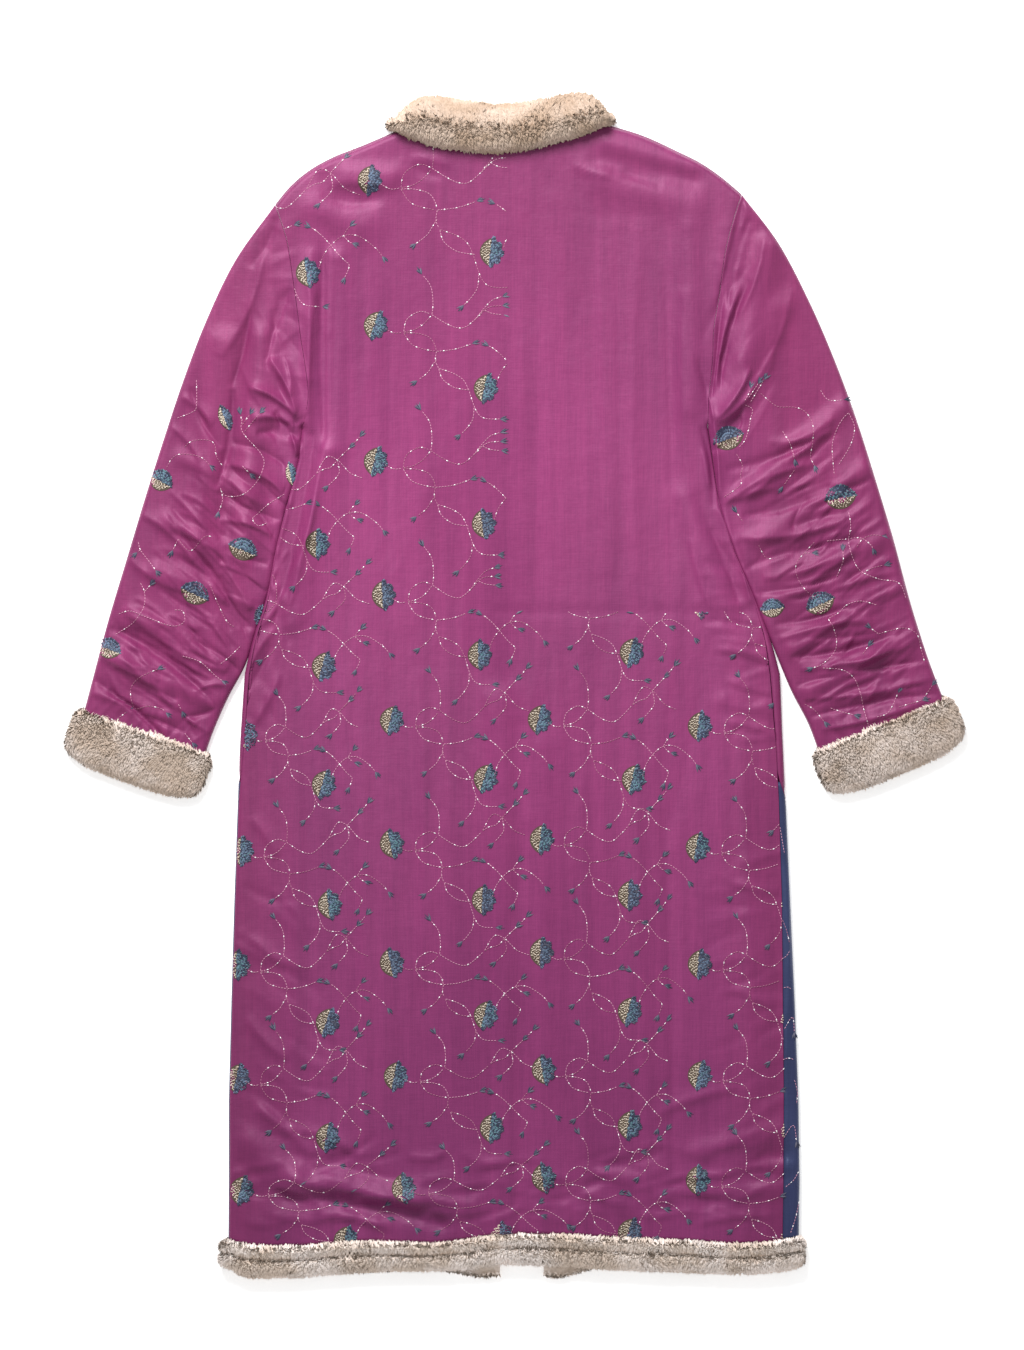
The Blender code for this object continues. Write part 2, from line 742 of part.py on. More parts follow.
def side_point(side, height, place):
    """A point on the plan near a side fold, at a place measured in from the fold."""
    way = 1 if side == "left" else -1
    x = side_x(height, side) + way * abs(place)
    y = hem_height(x) if height == row_heights()[0] else height
    return np.array((x, y))


def make_front(side, collection):
    way = 1 if side == "left" else -1
    edge = side_edge(side)
    shoulder = curve_through(SHOULDER_LEFT if side == "left" else tuple(reversed(SHOULDER_RIGHT)))
    top = join_curves((shoulder, front_neck(side)))
    centre = centre_front(side)
    plan = patch(hem_between(edge(0), centre(0)), top, edge, centre)
    folds = body_folds()
    shoulder_end = shoulder(1)[0] * way
    outer_rows = []
    inner_rows = []
    for v, height, share in body_rows():
        width = float(np.linalg.norm(plan(1, v) - plan(0, v)))
        rim = front_seam(height, side) if height is not None and height < ARMPIT else 0.0
        outer_row = []
        inner_row = []
        for index, place in enumerate(spread(-width, rim, FRONT_COLUMNS)):
            at_rim = index == FRONT_COLUMNS - 1
            if at_rim and height is not None and height < ARMPIT:
                pair = seam_rim(side, height, rim, False)
            elif at_rim:
                pair = armhole_rim(side, share or 0, False, True)
            elif place > 0:
                point = side_point(side, height, place)
                pair = wall_points(point, place, np.array((float(way), 0.0)), True)[:2]
            else:
                point = plan(-place / width, v)
                distance, inward = nearest_fold(point, folds)
                outer, inner, _ = wall_points(point, distance, inward, False)
                at_shoulder = v == 1 and point[0] * way < shoulder_end
                drop = np.array((0, 0, -SEAM_GAP / 2 if at_shoulder else 0))
                pair = (outer + drop, inner + drop)
            outer_row.append(pair[0])
            inner_row.append(pair[1])
        outer_rows.append(outer_row)
        inner_rows.append(inner_row)
    name = "front_" + side
    return cloth_wall(name, outer_rows, inner_rows, False, MAGENTA_SILK, collection)


def make_gusset(side, collection):
    way = 1 if side == "left" else -1
    tip = GUSSET_TIP - GUSSET_BLUNT
    outer_rows = []
    inner_rows = []
    for height in [y for y in row_heights() if y <= tip]:
        front = front_seam(height, side)
        back = seam_inset(height, side)
        outer_row = []
        inner_row = []
        places = spread(front, back, GUSSET_COLUMNS)
        for index, place in enumerate(places):
            if index == 0:
                pair = seam_rim(side, height, front, True)
            elif index == GUSSET_COLUMNS - 1:
                pair = seam_rim(side, height, back, False)
            else:
                point = side_point(side, height, place)
                inward = np.array((float(way), 0.0))
                pair = wall_points(point, abs(place), inward, place > 0)[:2]
            outer_row.append(pair[0])
            inner_row.append(pair[1])
        outer_rows.append(outer_row)
        inner_rows.append(inner_row)
    name = "gusset_" + side
    return cloth_wall(name, outer_rows, inner_rows, False, NAVY_SILK, collection)


def make_sleeve(side, collection):
    table = SLEEVE_LEFT if side == "left" else SLEEVE_RIGHT
    inner_edge = curve_through([(row.inner_x, row.inner_y) for row in table])
    outer_edge = curve_through([(row.outer_x, row.outer_y) for row in table])
    cuff = curve_through((inner_edge(1), outer_edge(1)))
    plan = patch(armhole(side), cuff, inner_edge, outer_edge)
    lines = [polyline(inner_edge), polyline(outer_edge)]
    backward = lines[1] if side == "left" else lines[0]
    forward = lines[0] if side == "left" else lines[1]
    folds = [forward, backward[::-1]]
    around = [(share, True) for share in ARMHOLE_SHARES]
    around += [(share, False) for share in reversed(ARMHOLE_SHARES[1:-1])]
    around.append(around[0])
    end_line = outer_edge(1) - inner_edge(1)
    back_up = np.array((end_line[1], -end_line[0], 0)) / np.linalg.norm(end_line)
    back_up = back_up * (1 if side == "left" else -1) * SEAM_GAP / 2
    outer_rows = []
    inner_rows = []
    for row in range(SLEEVE_ROWS + 1):
        v = row / SLEEVE_ROWS
        outer_row = []
        inner_row = []
        for u, above in around:
            if row == 0:
                pair = armhole_rim(side, u, above, False)
            else:
                point = plan(u, v)
                distance, inward = nearest_fold(point, folds)
                if u in (0, 1):
                    distance = 0.0
                pair = wall_points(point, distance, inward, above)[:2]
                if row == SLEEVE_ROWS:
                    pair = (pair[0] + back_up, pair[1] + back_up)
            outer_row.append(pair[0])
            inner_row.append(pair[1])
        outer_rows.append(outer_row)
        inner_rows.append(inner_row)
    name = "sleeve_" + side
    return cloth_wall(name, outer_rows, inner_rows, True, MAGENTA_SILK, collection)


def signed_power(value, power):
    return math.copysign(abs(value) ** power, value)


def fur_heights(turn, top):
    """Height of the fur's outer face round a flat loop, at a turn of 1 on top, -1 under."""
    middle = (FUR_OPENING_TOP + FUR_OPENING_FLOOR) / 2
    if turn > 0:
        return middle + (top - middle) * abs(turn) ** 0.6
    return max(0.0, middle - (middle + 1) * abs(turn) ** 0.6)


def opening_height(turn):
    middle = (FUR_OPENING_TOP + FUR_OPENING_FLOOR) / 2
    half = (FUR_OPENING_TOP - FUR_OPENING_FLOOR) / 2
    return middle + half * clamp(turn * 3, -1, 1)


def make_cuff(side, collection):
    table = SLEEVE_LEFT if side == "left" else SLEEVE_RIGHT
    inner_end = np.array((table[-1].inner_x, table[-1].inner_y))
    outer_end = np.array((table[-1].outer_x, table[-1].outer_y))
    lateral = (outer_end - inner_end) / np.linalg.norm(outer_end - inner_end)
    axis = np.array((-lateral[1], lateral[0])) * (1 if side == "left" else -1)
    centre = (inner_end + outer_end) / 2
    half = np.linalg.norm(outer_end - inner_end) / 2 + CUFF_BULGE
    stations = []
    for step in range(CUFF_STEPS):
        angle = 2 * math.pi * (step + 0.5) / CUFF_STEPS
        across = signed_power(math.cos(angle), CUFF_SQUARENESS)
        turn = math.sin(angle)
        start = centre + axis * SEAM_GAP / 2
        inner_plan = start + lateral * (half - CUFF_WALL) * across
        outer_plan = start + lateral * half * across
        inner = np.array((*inner_plan, opening_height(turn)))
        outer = np.array((*outer_plan, fur_heights(turn, FUR_TOP)))
        depth = CUFF_DEPTH - CUFF_CORNER * across ** 4
        along = np.array((*(axis * depth), 0))
        stations.append((inner, outer, along, FUR_PRESS * clamp(-turn * 2)))
    return fur_band("cuff_" + side, stations, ROLL, True, CREAM_FUR, collection)


def trim_station(x, table, inner_z, outer_z, press, spread_x=0.0, inner_x=0.0):
    """One station of the hem's fur, hanging from the silk's edge at x."""
    start = column(HEM_TRIM, ("x", "silk_edge"), x) - TRIM_CLEARANCE
    low = column(table, ("x", "low"), x)
    inner = np.array((x + inner_x, start, inner_z))
    outer = np.array((x + spread_x, start, outer_z))
    return inner, outer, np.array((0, low - start, 0)), press


def evenly(start, end, step):
    count = max(1, math.ceil(abs(end - start) / step))
    return [start + (end - start) * index / count for index in range(count + 1)]


def make_hem_back(collection):
    start = TRIM_JOIN_LEFT + SEAM_GAP / 2
    end = TRIM_JOIN_RIGHT - SEAM_GAP / 2
    stations = [trim_station(x, HEM_TRIM, FUR_OPENING_TOP, FUR_TOP, 0.0)
                for x in evenly(start, end, TRIM_STEP)]
    return fur_band("hem_trim_back", stations, TWO_ROLLS, False, CREAM_FUR, collection)


def make_hem_side(side, collection):
    """The fur of one front's hem, from its join on the back round the fold to the centre."""
    way = -1 if side == "left" else 1
    join = TRIM_JOIN_LEFT if side == "left" else TRIM_JOIN_RIGHT
    edge = BODY[0].left if side == "left" else BODY[0].right
    bulge = TRIM_BULGE_LEFT if side == "left" else TRIM_BULGE_RIGHT
    centre_x = FRONT_CENTRE_HEM + way * FRONT_GAP_HEM / 2
    turn_x = edge - way * TRIM_FOLD_INSET
    stations = []
    for x in evenly(join + way * SEAM_GAP / 2, turn_x, TRIM_STEP)[:-1]:
        stations.append(trim_station(x, HEM_TRIM, FUR_OPENING_TOP, FUR_TOP, 0.0))
    for step in range(FOLD_STEPS + 1):
        angle = math.pi / 2 - math.pi * step / FOLD_STEPS
        turn = math.sin(angle)
        reach = way * (bulge + TRIM_FOLD_INSET) * math.cos(angle)
        table = HEM_TRIM if turn > 0 else FRONT_TRIM
        stations.append(trim_station(turn_x, table, opening_height(turn), fur_heights(turn, FUR_TOP),
                                     FUR_PRESS * clamp(-turn), reach,
                                     way * TRIM_FOLD_OPENING * math.cos(angle)))
    for x in evenly(turn_x, centre_x, TRIM_STEP)[1:]:
        stations.append(trim_station(x, FRONT_TRIM, FUR_OPENING_FLOOR, 0.0, FUR_PRESS))
    name = "hem_trim_" + side
    return fur_band(name, stations, TWO_ROLLS, False, CREAM_FUR, collection)


def collar_front(side):
    """The collar's stations on a front, from its end at the side to the centre."""
    neck = front_neck(side)
    stations = []
    for step in range(COLLAR_FRONT_STEPS + 1):
        share = COLLAR_FRONT_START + (1 - COLLAR_FRONT_START) * step / COLLAR_FRONT_STEPS
        point = neck(share)
        behind = column(COLLAR, ("x", "high"), point[0]) - COLLAR_FRONT_DROP
        high = min(point[1] + COLLAR_BAND, behind)
        start = np.array((point[0], point[1] + 2 * COLLAR_CLEARANCE))
        inner = np.array((*start, FUR_OPENING_FLOOR))
        outer = np.array((*start, 0.0))
        stations.append((inner, outer, np.array((0, high - start[1], 0)), FUR_PRESS))
    return stations


def collar_turn(side):
    """The collar's stations round its folded end, from the top down to the floor."""
    end = COLLAR_END_LEFT if side == "left" else COLLAR_END_RIGHT
    way = -1 if side == "left" else 1
    stations = []
    for angle in COLLAR_TURN_ANGLES:
        turn = math.sin(math.radians(angle))
        reach = math.cos(math.radians(angle))
        x = end.x - way * COLLAR_TURN_INSET * (COLLAR_TURN_SPREAD - reach)
        y = end.y - COLLAR_TURN_DROP
        inner = np.array((x - way * COLLAR_TURN_WALL, y, opening_height(turn)))
        outer = np.array((x + way * COLLAR_TURN_BULGE * reach, y, fur_heights(turn, FUR_TOP)))
        depth = COLLAR_TURN_DEPTH - COLLAR_TURN_TAPER * reach
        stations.append((inner, outer, np.array((0, depth, 0)), FUR_PRESS * clamp(-turn)))
    return stations


def make_collar(collection):
    stations = list(reversed(collar_front("left"))) + list(reversed(collar_turn("left")))
    for row in COLLAR:
        low = row.low + COLLAR_CLEARANCE
        inner = np.array((row.x, low, FUR_OPENING_TOP))
        outer = np.array((row.x, low, COLLAR_TOP))
        stations.append((inner, outer, np.array((0, row.high - low, 0)), 0.0))
    stations += collar_turn("right") + collar_front("right")
    return fur_band("collar", stations, TURNED_ROLL, False, CREAM_FUR, collection)


def make_facing(side, collection):
    """The dark strip that shows inside a pocket slit."""
    slit = SLIT_LEFT if side == "left" else SLIT_RIGHT
    way = 1 if side == "left" else -1
    inset = FACING_INSET + FACING_WIDTH / 2
    low = np.array((side_x(slit.low, side) + way * inset, slit.low))
    high = np.array((side_x(slit.high, side) + way * inset, slit.high))
    length = float(np.linalg.norm(high - low))
    middle = (low + high) / 2
    bm = bmesh.new()
    bmesh.ops.create_cube(bm, size=1)
    size = (FACING_WIDTH * METRES, length * METRES, FACING_THICK * METRES)
    bmesh.ops.scale(bm, verts=bm.verts, vec=size)
    item = finish_object(bm, "pocket_facing_" + side, NAVY_SILK, collection)
    height = WALL + SEAM_GAP + FACING_THICK / 2
    item.location = (middle[0] * METRES, middle[1] * METRES, height * METRES)
    item.rotation_euler = (0, 0, math.atan2(high[1] - low[1], high[0] - low[0]) - math.pi / 2)
    return item


def centre_parts(parts):
    """Moves all parts together, so that the origin is below the middle of their box."""
    bpy.context.view_layer.update()
    corners = [part.matrix_world @ vertex.co for part in parts for vertex in part.data.vertices]
    for axis in (0, 1):
        values = [corner[axis] for corner in corners]
        shift = (min(values) + max(values)) / 2
        for part in parts:
            part.location[axis] -= shift


def main():
    clear_scene()
    collection = part_collection()
    parts = [make_back(collection), make_collar(collection), make_hem_back(collection)]
    for side in ("left", "right"):
        parts.append(make_front(side, collection))
        parts.append(make_gusset(side, collection))
        parts.append(make_sleeve(side, collection))
        parts.append(make_cuff(side, collection))
        parts.append(make_hem_side(side, collection))
        parts.append(make_facing(side, collection))
    centre_parts(parts)


main()
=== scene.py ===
"""The looks of a long silk coat with fur trim, laid face down on a pale floor.

Places and sizes are in millimetres on the plan of the coat, and turn to metres when
a mesh is made. The shells follow the form of the solids that they replace.
"""

import math
import random
from collections import namedtuple

import bpy
import numpy as np
from mathutils.kdtree import KDTree
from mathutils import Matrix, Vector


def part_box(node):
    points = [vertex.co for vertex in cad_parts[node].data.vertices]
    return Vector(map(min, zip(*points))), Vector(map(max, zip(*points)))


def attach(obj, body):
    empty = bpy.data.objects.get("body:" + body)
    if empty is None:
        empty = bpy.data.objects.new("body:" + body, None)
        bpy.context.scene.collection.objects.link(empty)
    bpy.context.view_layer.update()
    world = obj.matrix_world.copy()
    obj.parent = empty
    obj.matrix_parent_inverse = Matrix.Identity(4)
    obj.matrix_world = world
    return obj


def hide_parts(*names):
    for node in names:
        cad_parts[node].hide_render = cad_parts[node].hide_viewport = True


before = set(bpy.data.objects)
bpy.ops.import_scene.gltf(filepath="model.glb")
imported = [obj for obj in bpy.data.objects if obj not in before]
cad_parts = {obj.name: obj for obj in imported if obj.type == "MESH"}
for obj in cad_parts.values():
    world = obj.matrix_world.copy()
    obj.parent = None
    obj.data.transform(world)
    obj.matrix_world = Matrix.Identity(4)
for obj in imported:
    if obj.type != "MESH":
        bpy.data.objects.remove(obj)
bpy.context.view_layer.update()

METRES = 0.001
SIDES = ("left", "right")
# The way along X from each side into the coat
INWARD = {"left": 1, "right": -1}
SEAM_GAP = 0.3
WALL = 4.0
FOLD_RADIUS = 5.5
COAT_HEIGHT = 11.0
HEM_RISE = 2.0
HEM_RISE_START = -400.0
HEM_RISE_LENGTH = 130.0
NECK_RISE = 2.0
NECK_RISE_REACH = 195.0
NECK_RISE_LENGTH = 150.0
SLEEVE_RISE = 2.0
SLEEVE_RISE_START = 270.0
SLEEVE_RISE_LENGTH = 100.0
LOWEST_TOP = 8.6
# Painted shade over the silk, as tones that multiply its colour: darker towards the hem, with a
# shift to purple that the silk has; darker on the sleeves; darker and greyer towards the shoulders
LOW_PAINTED_SHADE_AND_PURPLE = (0.74, 0.72, 0.82)
FULL_TONE = (1.0, 1.0, 1.0)
HIGH_PAINTED_SHADE_AND_GREY = (0.88, 0.93, 0.87)
SLEEVE_PAINTED_SHADE = (0.86, 0.76, 0.79)
# Painted light and shade over the fur: lighter at the hem, which faces away from the lamp, and
# darker at the collar
FUR_LOW_PAINTED_LIGHT = (1.16, 1.18, 1.32)
FUR_HIGH_PAINTED_SHADE = (0.72, 0.63, 0.6)
# A faint painted glow in the fur's own colour, standing in for light through the thin hairs; it
# lifts the shade between the strands
PAINTED_FUR_GLOW = 0.055
# How far each row of a sleeve's inner edge is tucked against the body
SLEEVE_TUCKS = (0.4, 2.2, 3.0, 3.4, 3.6, 2.8, 1.2, 0.0, 0.0, 0.0)
TINY = 0.01
ON_EDGE = 0.4
CURVE_STEP = 0.01
CROWD_AT_FOLD = 34.0
CROWD_REACH = 2.5
CROWD_SAMPLES = 400
NECK_CENTRE = (-8.5, 560.0)
ARMPIT_SHARE = 0.78

# The body's width at each height, and how far each side seam lies inside the fold
Level = namedtuple("Level", "height left right seam_left seam_right")
BODY = tuple(Level(*row) for row in (
    (-556, -284.5, 286.5, 1, 16.5), (-492, -284, 287.5, 1, 16.5), (-412, -284, 286.5, 1, 15),
    (-312, -281.5, 282.5, 1, 12), (-212, -278.5, 278, 1, 8.5), (-112, -275, 273.5, 1, 7),
    (-47, -272.5, 270.5, 5, 7.5), (13, -268.5, 268, 5, 10), (48, -261, 259, 4, 6),
    (88, -247.5, 244.5, 3, 3), (138, -238, 222.5, 2, 2), (188, -225.5, 206.5, 1, 1),
    (228, -214.5, 200.3, 0, 0), (262, -210.5, 195.5, 0, 0),
))
ARMPIT = BODY[-1].height

# Armholes run from the armpit up to the shoulder
Spot = namedtuple("Spot", "x y")
ARMHOLE_LEFT = (Spot(-210.5, 262), Spot(-204.5, 288), Spot(-207.5, 323), Spot(-211.5, 348),
                Spot(-215, 376), Spot(-219.5, 409), Spot(-226.5, 451), Spot(-237.5, 484))
ARMHOLE_RIGHT = (Spot(195.5, 262), Spot(196.2, 288), Spot(200, 326), Spot(201.9, 363),
                 Spot(206.5, 389), Spot(213.5, 439), Spot(222.5, 473), Spot(229.5, 494))
SHOULDER_LEFT = (Spot(-237.5, 484), Spot(-224.5, 500), Spot(-208.5, 514.5), Spot(-182.5, 530),
                 Spot(-152.5, 542), Spot(-118.5, 556.5))
SHOULDER_RIGHT = (Spot(95.5, 563.5), Spot(127.5, 554), Spot(167.5, 536), Spot(187.5, 526),
                  Spot(209.5, 511), Spot(229.5, 494))
BACK_NECK = (Spot(-118.5, 556.5), Spot(-95.5, 548.6), Spot(-76.5, 542.1), Spot(-36.5, 536.7),
             Spot(-12.5, 536.1), Spot(10.5, 538.9), Spot(34.5, 543.4), Spot(63.5, 551.4),
             Spot(95.5, 563.5))
FRONT_NECK_DEPTH = 56.0
FRONT_NECK_X = -8.5

# A sleeve's two folded edges at each section, from the armhole to the cuff
Section = namedtuple("Section", "outer_x outer_y inner_x inner_y")
SLEEVE_LEFT = tuple(Section(*row) for row in (
    (-237.5, 484, -210.5, 262), (-277.5, 428, -217.3, 219), (-306.5, 368, -229.6, 179.1),
    (-329.5, 308, -239, 139.5), (-349.5, 248, -246.8, 100.4), (-368.5, 188, -257.9, 62.8),
    (-386.5, 128, -268, 24.2), (-404.5, 68, -285.3, -11.3), (-420.5, 8, -300.8, -47.1),
    (-428.9, -24, -307.8, -67),
))
SLEEVE_RIGHT = tuple(Section(*row) for row in (
    (229.5, 494, 195.5, 262), (264.5, 448, 202.4, 226.1), (296.5, 388, 209.7, 183.8),
    (322.5, 328, 222, 144.5), (344.5, 268, 237.4, 107.8), (363.5, 208, 251.9, 70.9),
    (381.5, 148, 264.9, 33.9), (397.5, 88, 279.3, -3.5), (415.1, 32, 296.2, -36.1),
    (431.5, -12, 306.7, -64),
))
SLEEVES = {"left": SLEEVE_LEFT, "right": SLEEVE_RIGHT}

# The fur at the hem: the silk's edge above it and its own lower edge
TrimLine = namedtuple("TrimLine", "x silk_edge low")
HEM_TRIM = tuple(TrimLine(*row) for row in (
    (-284.5, -552, -577), (-268.5, -556, -587.5), (-243.5, -558, -588), (-203.5, -557, -586.5),
    (-164.5, -553, -583), (-132.5, -553, -581), (-79.5, -555, -581), (-45.5, -551, -580),
    (-21.5, -547, -574.5), (7.5, -545, -574.6), (46.5, -546, -576.2), (96.5, -549, -579.3),
    (135.5, -551, -581), (175.5, -552, -582.3), (214.5, -555, -584), (244.5, -555, -584),
    (270.5, -552, -581), (286.5, -550, -577),
))
FRONT_TRIM = tuple(TrimLine(*row) for row in (
    (-290, -552, -576), (-200, -557, -584), (-80, -555, -579), (-33, -549, -587),
    (-12, -546, -586), (30, -545.5, -586), (48, -546, -587), (85, -548.5, -578),
    (200, -554, -581), (290, -550, -575),
))
TRIM_JOIN = {"left": -281.0, "right": 265.5}
TRIM_BULGE = {"left": 9.0, "right": 6.0}
TRIM_CLEARANCE = 1.2

# The fur collar's back half, as its lower and upper edge at each place across
CollarLine = namedtuple("CollarLine", "x low high")
COLLAR = tuple(CollarLine(*row) for row in (
    (-112.5, 555.5, 573), (-95.5, 549, 585.5), (-76.5, 542.4, 588), (-60.5, 540, 585.5),
    (-36.5, 537, 582.3), (-12.5, 536.4, 580), (10.5, 539.2, 582.3), (34.5, 543.7, 586.3),
    (50.5, 548, 590.2), (63.5, 551.7, 591.8), (79.5, 557, 588.7), (90.5, 562, 579),
))
COLLAR_END = {"left": Spot(-123.5, 562.0), "right": Spot(100.5, 567.0)}
COLLAR_BAND = 40.0
COLLAR_CLEARANCE = 1.2
COLLAR_FRONT_START = 0.25
COLLAR_FRONT_DROP = 4.0

# Where the collar turns under at each end
COLLAR_TURN_ANGLES = (60, 20, -20, -60)
COLLAR_TURN_INSET = 6.0
COLLAR_TURN_SPREAD = 1.6
COLLAR_TURN_DROP = 3.0
COLLAR_TURN_WALL = 2.0
COLLAR_TURN_BULGE = 5.0
COLLAR_TURN_DEPTH = 12.0
COLLAR_TURN_TAPER = 4.0

# Heights of the fur above the floor, over and under the flat opening inside it
FUR_TOP = 20.0
COLLAR_TOP = 30.0
FUR_OPENING_TOP = 7.5
FUR_OPENING_FLOOR = 6.0
FUR_PRESS = 0.92

CUFF_BULGE = 8.5
CUFF_DEPTH = 47.0
CUFF_CORNER = 7.0
CUFF_WALL = 10.0
CUFF_SQUARENESS = 0.5
TRIM_FOLD_INSET = 3.0
TRIM_FOLD_OPENING = 0.5

# A fur band's section: share of its depth, and share of its thickness
Pile = namedtuple("Pile", "depth rise")
ROLL = (Pile(0, 0), Pile(0, 0.5), Pile(0.07, 0.82), Pile(0.25, 1), Pile(0.7, 1),
        Pile(0.92, 0.8), Pile(1, 0.5), Pile(1, 0))
TWO_ROLLS = (Pile(0, 0), Pile(0, 0.5), Pile(0.05, 0.75), Pile(0.18, 0.95), Pile(0.32, 0.85),
             Pile(0.42, 0.55), Pile(0.52, 0.85), Pile(0.7, 1), Pile(0.88, 0.85), Pile(0.98, 0.5),
             Pile(0.98, 0))
TURNED_ROLL = (Pile(0, 0), Pile(0, 0.42), Pile(0.05, 0.75), Pile(0.2, 0.97), Pile(0.5, 1),
               Pile(0.78, 0.82), Pile(0.94, 0.55), Pile(1, 0.3), Pile(0.99, 0))

# Each front's edge at the centre, and the two side gussets
FRONT_GAP_TOP = 3.0
FRONT_GAP_HEM = 44.0
FRONT_CENTRE_HEM = 9.3
FRONT_OPENS_BELOW = 200.0
GUSSET_TIP = -91.0
GUSSET_AT_FOLD = -112.0
GUSSET_UNDER = {"left": 60.0, "right": 45.0}
GUSSET_BLUNT = 3.0
GUSSET_START_WIDTH = 2.0
GUSSET_START_SHARE = 0.9
GUSSET_WRAP_START = -18
GUSSET_JUST_UNDER = 8.0
GUSSET_ON_FOLD = 0.5

# Pocket slits lie in the side seams
Slit = namedtuple("Slit", "low high")
SLITS = {"left": Slit(-17.0, 90.0), "right": Slit(-47.0, 60.0)}
SLIT_GAP = 2.8
SLIT_TAPER = 8.0

# Soft ridges and troughs of the upper layer, each along a line
Fold = namedtuple("Fold", "x0 y0 x1 y1 width rise")
FOLDS = tuple(Fold(*row) for row in (
    # The back, from its left side to its right
    (-190, 438, -194, 235, 7, -1.5), (-196, 235, -232, 68, 7, -1.5),
    (-178, 430, -183, 240, 13, 3.5), (-184, 235, -218, 70, 13, 3),
    (-212, 523, -167, 488, 9, -1.5), (-167, 488, -137, 493, 9, -1.5),
    (-165, 515, -120, 512, 11, 4), (-200, 482, -150, 462, 16, 4), (87, 528, 178, 508, 8, -1.5),
    (95, 545, 180, 522, 9, 3), (90, 506, 180, 484, 16, 3.5), (176, 460, 180, 280, 12, 3),
    (187, 188, 232, 78, 8, -1.5), (172, 190, 212, 80, 13, 3), (-12, 76, 252, 76, 6, -0.8),
    (-15, -12, -5, -540, 16, 3), (5, -40, 8, -545, 8, -1.2), (30, -60, 25, -545, 15, 2.5),
    (-262, -455, -215, -490, 13, 4), (-215, -490, -100, -512, 13, 4),
    (-272, -477, -227, -510, 7, -1.5), (-227, -512, -72, -537, 7, -1.5),
    (187, -462, 267, -442, 10, 3), (190, -480, 270, -462, 7, -1.2),
    (150, -508, 262, -502, 9, 2.5), (215, 38, 250, 30, 8, 2.5), (212, -12, 256, -22, 8, 2.5),
    # The left sleeve
    (-267, 358, -290, 128, 8, -1.5), (-250, 350, -268, 150, 15, 6),
    (-292, 345, -315, 140, 15, 4.5), (-330, 230, -262, 190, 9, 3), (-345, 168, -270, 130, 9, 4),
    (-355, 118, -264, 84, 9, 4), (-375, 70, -285, 30, 9, 4), (-392, 30, -300, -15, 9, 4),
    # The right sleeve
    (240, 461, 211, 333, 8, -1.5), (258, 440, 228, 330, 13, 5), (264, 380, 214, 285, 13, 3.5),
    (330, 280, 240, 200, 10, 4), (350, 218, 245, 148, 10, 4), (370, 150, 265, 90, 10, 4),
    (385, 100, 280, 40, 9, 4), (402, 56, 297, -2, 9, 4),
))

